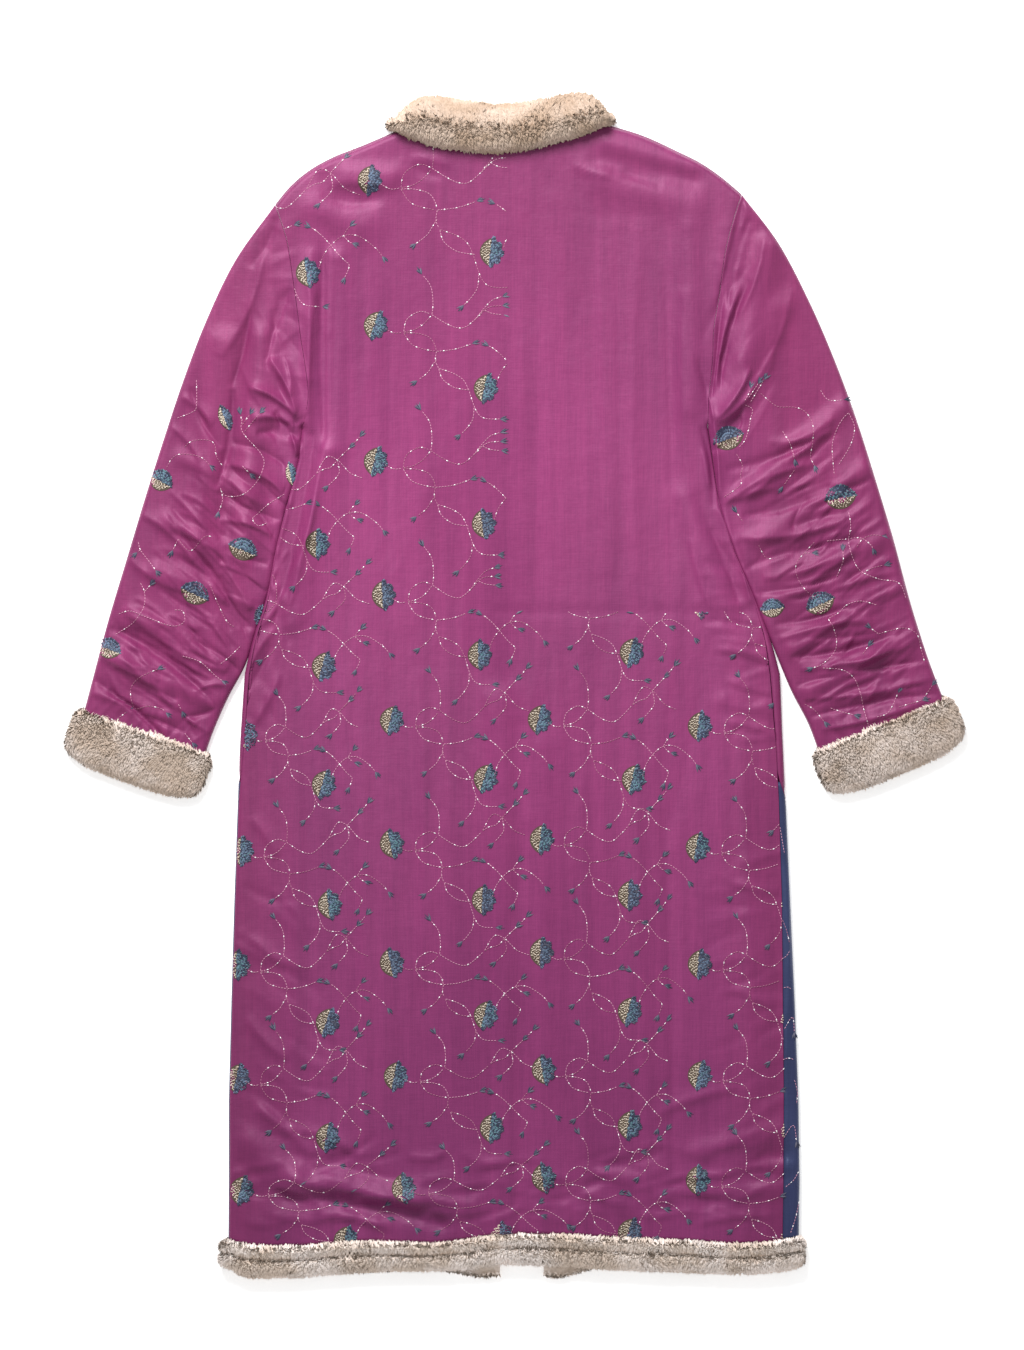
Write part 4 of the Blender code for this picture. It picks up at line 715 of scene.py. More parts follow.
# How finely the shells are divided, and where columns lie close at a folded edge
BACK_ROW = 3.2
BACK_COLUMNS = 180
FRONT_ROW = 14.0
FRONT_COLUMNS = 34
GUSSET_ROW = 5.0
GUSSET_COLUMNS = 24
SLEEVE_ROWS = 240
SLEEVE_COLUMNS = 80
SLEEVE_UNDER_STEP = 3
SLEEVE_EDGE_COLUMNS = 7
SLEEVE_EDGE = (0, 0.004, 0.01, 0.018, 0.028, 0.042)
BACK_EDGE = (0, 0.5, 1.1, 1.9, 2.9, 4.2, 6.0, 8.5)
FOLD_LINE_STEPS = 48
JOINED_LINE_STEPS = 16
ARMHOLE_ROWS = 62
FRONT_ARMHOLE_ROWS = 18


def clamp(value, low=0.0, high=1.0):
    return max(low, min(high, value))


def ease(value):
    value = clamp(value)
    return value * value * (3 - 2 * value)


def curve_through(points):
    """A smooth curve through the points, as a function of 0 to 1."""
    points = np.array(points, float)
    lengths = np.linalg.norm(np.diff(points, axis=0), axis=1)
    knots = np.concatenate(([0.0], np.cumsum(lengths)))
    slopes = np.gradient(points, knots, axis=0)

    def at(share):
        place = clamp(share) * knots[-1]
        index = int(clamp(np.searchsorted(knots, place) - 1, 0, len(knots) - 2))
        span = knots[index + 1] - knots[index]
        t = (place - knots[index]) / span
        start = (2 * t ** 3 - 3 * t ** 2 + 1) * points[index]
        start = start + (t ** 3 - 2 * t ** 2 + t) * span * slopes[index]
        end = (3 * t ** 2 - 2 * t ** 3) * points[index + 1]
        end = end + (t ** 3 - t ** 2) * span * slopes[index + 1]
        return start + end

    return at


def column(table, key, value):
    """One column of a table, read between its rows by another column."""
    places = [getattr(row, key[0]) for row in table]
    values = [getattr(row, key[1]) for row in table]
    return float(np.interp(value, places, values))


def side_x(height, side):
    return column(BODY, ("height", side), height)


def seam_inset(height, side):
    return column(BODY, ("height", "seam_" + side), height)


ARMHOLES = {"left": curve_through(ARMHOLE_LEFT), "right": curve_through(ARMHOLE_RIGHT)}
HEM_START = column(HEM_TRIM, ("x", "silk_edge"), BODY[0].left)
FOLD_TABLE = np.array([tuple(fold) for fold in FOLDS], float)


def pull_creases():
    """The short pulls along the seams, as creases across them, uneven in length and depth."""
    random.seed(PULL_SEED)
    creases = []
    for pulls in PULLS:
        along = np.array((pulls.x1 - pulls.x0, pulls.y1 - pulls.y0), float)
        across = np.array((-along[1], along[0])) / np.linalg.norm(along)
        for index in range(pulls.count):
            share = (index + random.uniform(*PULL_PLACE)) / pulls.count
            start = np.array((pulls.x0, pulls.y0)) + along * share
            reach = across * pulls.length * random.uniform(*PULL_REACH)
            lean = along / np.linalg.norm(along) * random.uniform(*PULL_LEAN)
            first = start - reach + lean
            last = start + reach - lean
            rise = pulls.rise * random.uniform(*PULL_RISE) * random.choice((1, 1, -1))
            creases.append(Crease(*first, *last, random.uniform(*PULL_BOW), pulls.width, rise))
    return creases


def wrinkle_creases():
    """The smaller wrinkles as creases, scattered along each region's line."""
    random.seed(WRINKLE_SEED)
    creases = []
    for row in WRINKLES:
        along = np.array((row.x1 - row.x0, row.y1 - row.y0), float)
        across = np.array((-along[1], along[0])) / np.linalg.norm(along)
        for index in range(row.count):
            centre = np.array((row.x0, row.y0)) + along * (index + random.random()) / row.count
            centre = centre + across * row.spread * random.uniform(-1, 1)
            lean = math.radians(row.lean + random.gauss(0, WRINKLE_LEAN))
            way = np.array((math.cos(lean), math.sin(lean)))
            reach = way * row.length * random.uniform(*WRINKLE_REACH)
            width = row.width * random.uniform(*WRINKLE_SIZE)
            rise = row.rise * random.uniform(*WRINKLE_RISE) * random.choice((1, -1))
            bow = random.uniform(*WRINKLE_BOW)
            creases.append(Crease(*(centre - reach), *(centre + reach), bow, width, rise))
    return creases


CREASE_TABLE = np.array([tuple(crease) for crease in CREASES], float)
CREASE_TABLE[:, -1] *= CREASE_DEPTH
CREASE_TABLE[:, -2] *= CREASE_NARROWING
CREASE_TABLE = np.concatenate((CREASE_TABLE, pull_creases(), wrinkle_creases()))


def fold_rise(x, y):
    """How much the large folds and the creases lift or lower the upper layer here."""
    x0, y0, x1, y1, width, rise = FOLD_TABLE.T
    along_x = x1 - x0
    along_y = y1 - y0
    share = ((x - x0) * along_x + (y - y0) * along_y) / (along_x ** 2 + along_y ** 2)
    share = np.clip(share, 0, 1)
    distance = np.hypot(x - x0 - share * along_x, y - y0 - share * along_y)
    total = float(np.sum(rise * np.exp(-(distance / width) ** 2)))
    x0, y0, x1, y1, bow, width, rise = CREASE_TABLE.T
    along_x = x1 - x0
    along_y = y1 - y0
    length = np.hypot(along_x, along_y)
    share = ((x - x0) * along_x + (y - y0) * along_y) / length ** 2
    offset = ((y - y0) * along_x - (x - x0) * along_y) / length
    inside = np.clip(4 * share * (1 - share), 0, 1)
    offset = offset - bow * inside
    is_upper = offset * np.where(along_x < 0, -1, 1) > 0
    reach = np.maximum(width * np.where(is_upper, GENTLE_SIDE, STEEP_SIDE), NARROWEST)
    fall = np.exp(-(np.abs(offset) / reach) ** CREASE_SHARPNESS)
    return total + float(np.sum(rise * np.sqrt(inside) * fall))


def top_height(x, y):
    height = COAT_HEIGHT
    height += HEM_RISE * ease((HEM_RISE_START - y) / HEM_RISE_LENGTH)
    from_neck = math.hypot(x - NECK_CENTRE[0], y - NECK_CENTRE[1])
    height += NECK_RISE * ease((NECK_RISE_REACH - from_neck) / NECK_RISE_LENGTH)
    height += SLEEVE_RISE * ease((abs(x) - SLEEVE_RISE_START) / SLEEVE_RISE_LENGTH)
    return max(height + fold_rise(x, y), LOWEST_TOP)


def polyline(curve, count=FOLD_LINE_STEPS):
    return np.array([curve(index / count) for index in range(count + 1)])


def nearest_fold(point, folded):
    """The distance to the nearest folded edge, and the way into the cloth from it.

    Each folded edge runs so that the cloth lies on its right hand side.
    """
    best = (math.inf, np.array((0.0, 1.0)))
    for line in folded:
        along = np.diff(line, axis=0)
        away = point - line[:-1]
        share = np.clip((away * along).sum(axis=1) / (along * along).sum(axis=1), 0, 1)
        offsets = away - share[:, None] * along
        distances = np.linalg.norm(offsets, axis=1)
        index = int(distances.argmin())
        if distances[index] < best[0]:
            inward = np.array((along[index][1], -along[index][0]))
            inward = inward / np.linalg.norm(inward)
            if distances[index] > ON_EDGE:
                inward = offsets[index] / distances[index]
            best = (float(distances[index]), inward)
    return best


def wall_points(point, distance, inward, above):
    """The outer and inner face of the wall at a place on the plan, and its slope."""
    turn = 1 - clamp(distance / FOLD_RADIUS)
    flat = math.sqrt(1 - turn * turn)
    top = top_height(point[0], point[1])
    middle = top / 2
    way = 1 if above else -1
    reach = top - middle if above else middle
    outer = np.array((point[0], point[1], middle + way * reach * flat))
    inner = np.array((point[0] + inward[0] * WALL * turn,
                      point[1] + inward[1] * WALL * turn,
                      middle + way * (reach - WALL) * flat))
    slope = np.array((inward[0] * flat, inward[1] * flat, way * turn))
    return outer, inner, slope


def patch(bottom, top, left, right):
    """A surface over four joined edges, each a function of 0 to 1."""
    corners = (left(0), right(0), left(1), right(1))

    def at(u, v):
        sides = (1 - u) * left(v) + u * right(v)
        ends = (1 - v) * bottom(u) + v * top(u)
        shared = (1 - v) * ((1 - u) * corners[0] + u * corners[1])
        shared = shared + v * ((1 - u) * corners[2] + u * corners[3])
        return sides + ends - shared

    return at


def hem_height(x):
    return column(HEM_TRIM, ("x", "silk_edge"), x)


def armhole(side):
    return ARMHOLES[side]


def side_edge(side):
    """The body's folded side up to the armpit, then its armhole, as a function of 0 to 1."""
    upper = armhole(side)

    def at(v):
        if v > ARMPIT_SHARE:
            return upper((v - ARMPIT_SHARE) / (1 - ARMPIT_SHARE))
        height = HEM_START + (ARMPIT - HEM_START) * v / ARMPIT_SHARE
        if v == 0:
            height = hem_height(side_x(height, side))
        return np.array((side_x(height, side), height))

    return at


def seam_edge(side):
    """The back's side seam and armhole, as a function of 0 to 1."""
    edge = side_edge(side)
    way = INWARD[side]

    def at(v):
        point = edge(v)
        if v >= ARMPIT_SHARE:
            return point
        x = point[0] + way * seam_inset(point[1], side)
        if v == 0:
            return np.array((x, hem_height(x)))
        return np.array((x, point[1]))

    return at


def hem_between(start, end):
    def at(u):
        x = start[0] + (end[0] - start[0]) * u
        return np.array((x, hem_height(x)))

    return at


def join_curves(curves):
    """Several curves end to end, spaced by their lengths, as a function of 0 to 1."""
    points = np.vstack([polyline(curve, JOINED_LINE_STEPS) for curve in curves])
    steps = np.linalg.norm(np.diff(points, axis=0), axis=1)
    places = np.concatenate(([0.0], np.cumsum(steps)))

    def at(u):
        place = u * places[-1]
        return np.array((np.interp(place, places, points[:, 0]),
                         np.interp(place, places, points[:, 1])))

    return at


def front_neck(side):
    """A front's neckline from the shoulder to the centre."""
    start = SHOULDER_LEFT[-1] if side == "left" else SHOULDER_RIGHT[0]
    end_x = FRONT_NECK_X - INWARD[side] * FRONT_GAP_TOP / 2
    low = BACK_NECK[4].y - FRONT_NECK_DEPTH

    def at(u):
        x = start.x + (end_x - start.x) * math.sin(u * math.pi / 2)
        share = (x - end_x) / (start.x - end_x)
        return np.array((x, low + (start.y - low) * share * share))

    return at


def centre_front(side):
    """A front's edge at the centre, from the hem up to the neckline."""
    way = -INWARD[side]
    top = front_neck(side)(1)
    hem_x = FRONT_CENTRE_HEM + way * FRONT_GAP_HEM / 2
    hem_y = hem_height(hem_x)
    chest_x = FRONT_NECK_X + way * FRONT_GAP_TOP / 2

    def at(v):
        y = hem_y + (top[1] - hem_y) * v
        share = clamp((FRONT_OPENS_BELOW - y) / (FRONT_OPENS_BELOW - hem_y))
        return np.array((chest_x + (hem_x - chest_x) * share, y))

    return at


def body_folds():
    """The body's folded edges: both sides below the armpits, and both shoulders."""
    left = side_edge("left")
    right = side_edge("right")
    sides = [polyline(lambda t: left(t * ARMPIT_SHARE)),
             polyline(lambda t: right((1 - t) * ARMPIT_SHARE))]
    shoulders = [polyline(curve_through(SHOULDER_LEFT)), polyline(curve_through(SHOULDER_RIGHT))]
    return sides + shoulders


def armhole_rim(side, share, above, into_body):
    """The wall at a place on the armhole, moved off the seam into the body or the sleeve."""
    curve = armhole(side)
    point = curve(share)
    ends = (curve(0), curve(1))
    nearer = 0 if np.linalg.norm(point - ends[0]) < np.linalg.norm(point - ends[1]) else 1
    offset = point - ends[nearer]
    distance = float(np.linalg.norm(offset))
    if distance < TINY:
        offset = curve(CURVE_STEP) - ends[0] if nearer == 0 else curve(1 - CURVE_STEP) - ends[1]
    inward = offset / np.linalg.norm(offset)
    outer, inner, _ = wall_points(point, distance, inward, above)
    ahead = curve(min(1, share + CURVE_STEP)) - curve(max(0, share - CURVE_STEP))
    across = np.array((ahead[1], -ahead[0], 0)) / np.linalg.norm(ahead)
    way = INWARD[side] * (1 if into_body else -1)
    shift = across * way * SEAM_GAP / 2
    if distance < FOLD_RADIUS and into_body:
        lift = (1 - distance / FOLD_RADIUS) * SEAM_GAP / 2
        shift = shift + np.array((0, 0, lift if above else -lift))
    return outer + shift, inner + shift


def slit_share(y, slit):
    return clamp((y - slit.low) / SLIT_TAPER) * clamp((slit.high - y) / SLIT_TAPER)


def seam_rim(side, height, inset, into_back):
    """The wall at the side seam, moved off it towards the back or towards the front."""
    way = INWARD[side]
    edge_x = side_x(height, side)
    x = edge_x + way * abs(inset)
    y = hem_height(x) if height == HEM_START else height
    point = np.array((x, y))
    above = inset >= 0
    inward = np.array((float(way), 0.0))
    outer, inner, slope = wall_points(point, abs(inset), inward, above)
    if not above:
        slope = -slope
    at_back = abs(inset - seam_inset(height, side)) < TINY
    gap = SEAM_GAP / 2 if at_back else SEAM_GAP
    if into_back:
        gap += (SLIT_GAP - SEAM_GAP) * slit_share(height, SLITS[side])
    shift = slope * gap * (1 if into_back else -1)
    return outer + shift, inner + shift


def front_seam(height, side):
    """Where a front ends: above the fold if positive, on the underside if negative."""
    inset = seam_inset(height, side)
    if height >= GUSSET_TIP:
        return inset
    tip = GUSSET_TIP - GUSSET_BLUNT
    inset_at_tip = seam_inset(tip, side)
    start = min(inset_at_tip - GUSSET_START_WIDTH, GUSSET_START_SHARE * inset_at_tip)
    places = (BODY[0].height, GUSSET_AT_FOLD + GUSSET_WRAP_START, GUSSET_AT_FOLD, tip, GUSSET_TIP)
    rims = (-GUSSET_UNDER[side], -GUSSET_JUST_UNDER, -GUSSET_ON_FOLD, start,
            seam_inset(GUSSET_TIP, side))
    return float(np.interp(height, places, rims))


def spread(start, end, count):
    """Places from start to end, closer together near the fold at 0."""
    places = np.linspace(start, end, CROWD_SAMPLES)
    crowd = CROWD_AT_FOLD * (1 - np.exp(-np.abs(places) / CROWD_REACH))
    weight = places + crowd * np.sign(places)
    return np.interp(np.linspace(weight[0], weight[-1], count), weight, places)


def side_point(side, height, place):
    """A point on the plan near a side fold, at a place measured in from the fold."""
    way = INWARD[side]
    x = side_x(height, side) + way * abs(place)
    y = hem_height(x) if height == HEM_START else height
    return np.array((x, y))


def plan_shift():
    """The way from the coat's plan to the frame, read from two of its nodes."""
    low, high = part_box("hem_trim_back")
    shift_x = (low.x + high.x) / 2 - (TRIM_JOIN["left"] + TRIM_JOIN["right"]) / 2 * METRES
    shift_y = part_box("collar")[1].y - max(row.high for row in COLLAR) * METRES
    return np.array((shift_x, shift_y, 0.0))


SHIFT = plan_shift()


def new_object(name, points, faces, material):
    """A smooth mesh object from points in plan millimetres, which rides on the coat."""
    mesh = bpy.data.meshes.new(name)
    mesh.from_pydata((np.asarray(points, float) * METRES + SHIFT).tolist(), [], faces)
    mesh.materials.append(material)
    mesh.shade_smooth()
    item = bpy.data.objects.new(name, mesh)
    bpy.context.scene.collection.objects.link(item)
    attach(item, "root")
    return item


def grid_faces(rows, columns, closed=False):
    faces = []
    around = columns if closed else columns - 1
    for row in range(rows - 1):
        for index in range(around):
            ahead = (index + 1) % columns
            faces.append((row * columns + index, row * columns + ahead,
                          (row + 1) * columns + ahead, (row + 1) * columns + index))
    return faces


def shell(name, rows, ring, material):
    """The wall's outer face, turned in at its rims as far as the wall is thick.

    Each row holds pairs of points, on the wall's outer and its inner face.
    """
    outer = np.array([[pair[0] for pair in row] for row in rows])
    inner = np.array([[pair[1] for pair in row] for row in rows])
    grid = np.concatenate((inner[:1], outer, inner[-1:]))
    if not ring:
        first = np.concatenate((inner[:1, :1], inner[:, :1], inner[-1:, :1]))
        last = np.concatenate((inner[:1, -1:], inner[:, -1:], inner[-1:, -1:]))
        grid = np.concatenate((first, grid, last), axis=1)
    rows_in_grid, columns = grid.shape[:2]
    faces = grid_faces(rows_in_grid, columns, ring)
    facing = np.cross(outer[1:-1, 2:] - outer[1:-1, :-2], outer[2:, 1:-1] - outer[:-2, 1:-1])
    if np.sum(facing * (outer - inner)[1:-1, 1:-1]) < 0:
        faces = [face[::-1] for face in faces]
    return new_object(name, grid.reshape(-1, 3), faces, material)


def body_rows(step, armhole_rows):
    """Each row as its share of the way up, with its height or its place on the armhole."""
    count = math.ceil((ARMPIT - HEM_START) / step)
    heights = [HEM_START + (ARMPIT - HEM_START) * index / count for index in range(count + 1)]
    rows = [(ARMPIT_SHARE * (y - HEM_START) / (ARMPIT - HEM_START), y, None) for y in heights]
    for index in range(1, armhole_rows + 1):
        share = index / armhole_rows
        rows.append((ARMPIT_SHARE + (1 - ARMPIT_SHARE) * share, None, share))
    return rows


def back_columns():
    """Shares of the back's width, closer together at both edges."""
    width = BODY[0].right - BODY[0].left
    start = [step / width for step in BACK_EDGE]
    middle = np.linspace(start[-1], 1 - start[-1], BACK_COLUMNS)
    return start[:-1] + list(middle) + [1 - share for share in reversed(start[:-1])]


def back_top():
    """The back's upper edge: a shoulder, the neck and the other shoulder."""
    return join_curves([curve_through(line)
                        for line in (SHOULDER_LEFT, BACK_NECK, SHOULDER_RIGHT)])


def is_below_armpit(height):
    return height is not None and height < ARMPIT


def wall_at(point, folds, above):
    """The wall's outer and inner face over a place on the plan."""
    distance, inward = nearest_fold(point, folds)
    return wall_points(point, distance, inward, above)[:2]


def make_back(material):
    left = seam_edge("left")
    right = seam_edge("right")
    plan = patch(hem_between(left(0), right(0)), back_top(), left, right)
    folds = body_folds()
    rows = []
    for v, height, share in body_rows(BACK_ROW, ARMHOLE_ROWS):
        row = []
        for u in back_columns():
            side = "left" if u == 0 else "right"
            if u in (0, 1) and is_below_armpit(height):
                row.append(seam_rim(side, height, seam_inset(height, side), True))
            elif u in (0, 1):
                row.append(armhole_rim(side, share or 0, True, True))
            else:
                row.append(wall_at(plan(u, v), folds, True))
        rows.append(row)
    return shell("back_silk", rows, False, material)


def make_front(side, material):
    inward = np.array((float(INWARD[side]), 0.0))
    edge = side_edge(side)
    shoulder = curve_through(SHOULDER_LEFT if side == "left" else tuple(reversed(SHOULDER_RIGHT)))
    top = join_curves((shoulder, front_neck(side)))
    centre = centre_front(side)
    plan = patch(hem_between(edge(0), centre(0)), top, edge, centre)
    folds = body_folds()
    rows = []
    for v, height, share in body_rows(FRONT_ROW, FRONT_ARMHOLE_ROWS):
        width = float(np.linalg.norm(plan(1, v) - plan(0, v)))
        rim = front_seam(height, side) if is_below_armpit(height) else 0.0
        row = []
        for index, place in enumerate(spread(-width, rim, FRONT_COLUMNS)):
            at_rim = index == FRONT_COLUMNS - 1
            if at_rim and is_below_armpit(height):
                row.append(seam_rim(side, height, rim, False))
            elif at_rim:
                row.append(armhole_rim(side, share or 0, False, True))
            elif place > 0:
                point = side_point(side, height, place)
                row.append(wall_points(point, place, inward, True)[:2])
            else:
                row.append(wall_at(plan(-place / width, v), folds, False))
        rows.append(row)
    return shell("front_silk_" + side, rows, False, material)


def make_gusset(side, material):
    inward = np.array((float(INWARD[side]), 0.0))
    tip = GUSSET_TIP - GUSSET_BLUNT
    count = math.ceil((tip - HEM_START) / GUSSET_ROW)
    rows = []
    for step in range(count + 1):
        height = HEM_START + (tip - HEM_START) * step / count
        front = front_seam(height, side)
        back = seam_inset(height, side)
        row = [seam_rim(side, height, front, True)]
        for place in spread(front, back, GUSSET_COLUMNS)[1:-1]:
            point = side_point(side, height, place)
            row.append(wall_points(point, abs(place), inward, place > 0)[:2])
        row.append(seam_rim(side, height, back, False))
        rows.append(row)
    return shell("gusset_silk_" + side, rows, False, material)


def sleeve_plan(side):
    """The sleeve's plan from the armhole to the cuff, and its two folded edges."""
    table = SLEEVES[side]
    way = -INWARD[side]
    inner_edge = curve_through([(row.inner_x - way * tuck, row.inner_y)
                                for row, tuck in zip(table, SLEEVE_TUCKS)])
    outer_edge = curve_through([(row.outer_x, row.outer_y) for row in table])
    cuff = curve_through((inner_edge(1), outer_edge(1)))
    plan = patch(armhole(side), cuff, inner_edge, outer_edge)
    forward, backward = polyline(inner_edge), polyline(outer_edge)
    if side == "right":
        forward, backward = backward, forward
    return plan, [forward, backward[::-1]]


def make_sleeve(side, material):
    plan, folds = sleeve_plan(side)
    shares = list(SLEEVE_EDGE[:-1])
    shares += list(np.linspace(SLEEVE_EDGE[-1], 1 - SLEEVE_EDGE[-1], SLEEVE_COLUMNS))
    shares += [1 - share for share in reversed(SLEEVE_EDGE[:-1])]
    close = SLEEVE_EDGE_COLUMNS
    under = shares[1:close] + shares[close:-close:SLEEVE_UNDER_STEP] + shares[-close:-1]
    around = [(share, True) for share in shares]
    around += [(share, False) for share in reversed(under)]
    rows = [[armhole_rim(side, u, above, False) for u, above in around]]
    for step in range(1, SLEEVE_ROWS + 1):
        row = []
        for u, above in around:
            point = plan(u, step / SLEEVE_ROWS)
            distance, inward = nearest_fold(point, folds)
            if u in (0, 1):
                distance = 0.0
            row.append(wall_points(point, distance, inward, above)[:2])
        rows.append(row)
    return shell("sleeve_silk_" + side, rows, True, material)


def link_nodes(tree, links):
    for start, output, end, socket in links:
        tree.links.new(start.outputs[output], end.inputs[socket])


def add_node(tree, kind, **settings):
    node = tree.nodes.new(kind)
    for name, value in settings.items():
        setattr(node, name, value)
    return node


def ramp_over(tree, source, stops):
    """The colours of a ramp over a noise; each stop is a place and a colour."""
    ramp = add_node(tree, "ShaderNodeValToRGB")
    elements = ramp.color_ramp.elements
    while len(elements) < len(stops):
        elements.new(0.5)
    for element, (place, colour) in zip(elements, stops):
        element.position = place
        element.color = (*colour, 1)
    tree.links.new(source.outputs["Fac"], ramp.inputs["Fac"])
    return ramp.outputs["Color"]


def set_inputs(node, values):
    for name, value in values.items():
        node.inputs[name].default_value = value


def new_material(name):
    """A new material, with its nodes and its shader."""
    material = bpy.data.materials.new(name)
    material.use_nodes = True
    tree = material.node_tree
    return material, tree, tree.nodes["Principled BSDF"]


def noise_at(tree, place, scale, detail=NOISE_DETAIL):
    """Noise over the cloth, stretched by its own scale along X, Y and Z."""
    mapping = add_node(tree, "ShaderNodeMapping")
    noise = add_node(tree, "ShaderNodeTexNoise")
    set_inputs(mapping, {"Scale": scale})
    set_inputs(noise, {"Scale": 1.0, "Detail": detail})
    link_nodes(tree, ((place, "Object", mapping, "Vector"), (mapping, "Vector", noise, "Vector")))
    return noise


def bands_at(tree, place, direction):
    """The fine threads of the weave, as waves along one axis."""
    waves = add_node(tree, "ShaderNodeTexWave", wave_type="BANDS", bands_direction=direction)
    set_inputs(waves, {"Scale": BANDS_A_METRE * WAVE_SCALE, "Distortion": 1.2, "Detail": 1.0})
    link_nodes(tree, ((place, "Object", waves, "Vector"),))
    return waves


def add_painted_light(tree, place, colour, painted_drift):
    """The colour, with painted light and shade over it: a tone that drifts along one axis."""
    split = add_node(tree, "ShaderNodeSeparateXYZ")
    size = add_node(tree, "ShaderNodeMath", operation="ABSOLUTE" if painted_drift.axis == "X" else "ADD")
    size.inputs[1].default_value = 0.0
    share = add_node(tree, "ShaderNodeMapRange")
    set_inputs(share, {"From Min": painted_drift.first[0], "From Max": painted_drift.last[0]})
    tone = add_node(tree, "ShaderNodeMix", data_type="RGBA")
    set_inputs(tone, {"A": (*painted_drift.first[1], 1), "B": (*painted_drift.last[1], 1)})
    link_nodes(tree, ((place, "Object", split, "Vector"), (split, painted_drift.axis, size, 0),
                      (size, "Value", share, "Value"), (share, "Result", tone, "Factor")))
    return mix_colours(tree, colour, tone.outputs["Result"], 1.0)


def mix_colours(tree, first, second, factor):
    mix = add_node(tree, "ShaderNodeMix", data_type="RGBA", blend_type="MULTIPLY")
    mix.inputs["Factor"].default_value = factor
    tree.links.new(first, mix.inputs["A"])
    tree.links.new(second, mix.inputs["B"])
    return mix.outputs["Result"]


def silk_material(name, colours, sheen, roughness):
    """Shot silk: a fine weave with slubs, a wandering tone, painted shade over the coat, and small
    crumples.
    """
    material, tree, shader = new_material(name)
    place = add_node(tree, "ShaderNodeTexCoord")
    tone = noise_at(tree, place, TONE_SCALE)
    colour = ramp_over(tree, tone, tuple(zip(TONE_STOPS, colours)))
    noises = []
    for tint in (SLUB_TINT, WARP_TINT, STREAK_TINT):
        noise = noise_at(tree, place, tint.scale)
        colour = mix_colours(tree, colour, ramp_over(tree, noise, tint.stops), tint.factor)
        noises.append(noise)
    slubs, warp = noises[:2]
    # Painted shade: darker towards the hem, on the sleeves and towards the shoulders
    for painted_drift in SILK_PAINTED_SHADE:
        colour = add_painted_light(tree, place, colour, painted_drift)
    gloss = add_node(tree, "ShaderNodeMapRange")
    set_inputs(gloss, {"To Min": roughness - GLOSS_BELOW, "To Max": roughness + GLOSS_ABOVE})
    tree.links.new(colour, shader.inputs["Base Color"])
    tree.links.new(slubs.outputs["Fac"], gloss.inputs["Value"])
    tree.links.new(gloss.outputs["Result"], shader.inputs["Roughness"])
    set_inputs(shader, {"Specular IOR Level": 0.5, "Specular Tint": (*sheen, 1),
                        "Anisotropic": 0.35, "Sheen Weight": 0.07, "Sheen Roughness": 0.35,
                        "Sheen Tint": (*sheen, 1)})
    sources = ((noise_at(tree, place, CRUMPLE_SCALE, CRUMPLE_DETAIL), CRUMPLE_BUMP),
               (slubs, SLUB_BUMP), (warp, WARP_BUMP),
               (bands_at(tree, place, "X"), BAND_BUMP), (bands_at(tree, place, "Y"), BAND_BUMP))
    normal = None
    for source, (strength, distance) in sources:
        bump = add_node(tree, "ShaderNodeBump")
        set_inputs(bump, {"Strength": strength, "Distance": distance})
        tree.links.new(source.outputs["Fac"], bump.inputs["Height"])
        if normal is not None:
            tree.links.new(normal.outputs["Normal"], bump.inputs["Normal"])
        normal = bump
    tree.links.new(normal.outputs["Normal"], shader.inputs["Normal"])
    return material


def plain_material(name, colour, roughness):
    material, _, shader = new_material(name)
    set_inputs(shader, {"Base Color": (*colour, 1), "Roughness": roughness})
    return material


def make_floor():
    size = FLOOR_HALF
    mesh = bpy.data.meshes.new("floor")
    corners = [(-size, -size, 0), (size, -size, 0), (size, size, 0), (-size, size, 0)]
    mesh.from_pydata(corners, [], [(0, 1, 2, 3)])
    paper = plain_material("floor", FLOOR_COLOUR, FLOOR_ROUGHNESS)
    set_inputs(paper.node_tree.nodes["Principled BSDF"],
               {"Emission Color": WHITE, "Emission Strength": FLOOR_GLOW})
    mesh.materials.append(paper)
    floor = bpy.data.objects.new("floor", mesh)
    floor.location.z = -FLOOR_DROP
    bpy.context.scene.collection.objects.link(floor)


def add_light(name, place, size, power):
    """A square lamp that faces the middle of the coat."""
    lamp = bpy.data.lights.new(name, "AREA")
    lamp.size = size
    lamp.energy = power
    item = bpy.data.objects.new(name, lamp)
    item.location = place
    item.rotation_euler = (-item.location).to_track_quat("-Z", "Y").to_euler()
    bpy.context.scene.collection.objects.link(item)


def make_studio():
    """Soft light from the upper left, a pale sky, and the camera straight above."""
    world = bpy.data.worlds.new("studio")
    world.use_nodes = True
    set_inputs(world.node_tree.nodes["Background"], {"Color": WHITE, "Strength": SKY_STRENGTH})
    scene = bpy.context.scene
    scene.world = world
    scene.view_settings.view_transform = "Standard"
    add_light("key", KEY_PLACE, KEY_SIZE, KEY_POWER)
    camera = bpy.data.cameras.new("camera")
    camera.sensor_fit = "VERTICAL"
    camera.sensor_height = SENSOR_HEIGHT
    camera.lens = SENSOR_HEIGHT * CAMERA_DISTANCE / PHOTO_HEIGHT
    item = bpy.data.objects.new("camera", camera)
    item.location = (CAMERA_OFFSET[0] + SHIFT[0], CAMERA_OFFSET[1] + SHIFT[1],
                     CAMERA_DISTANCE + UPPER_FACE)
    scene.collection.objects.link(item)
    scene.camera = item


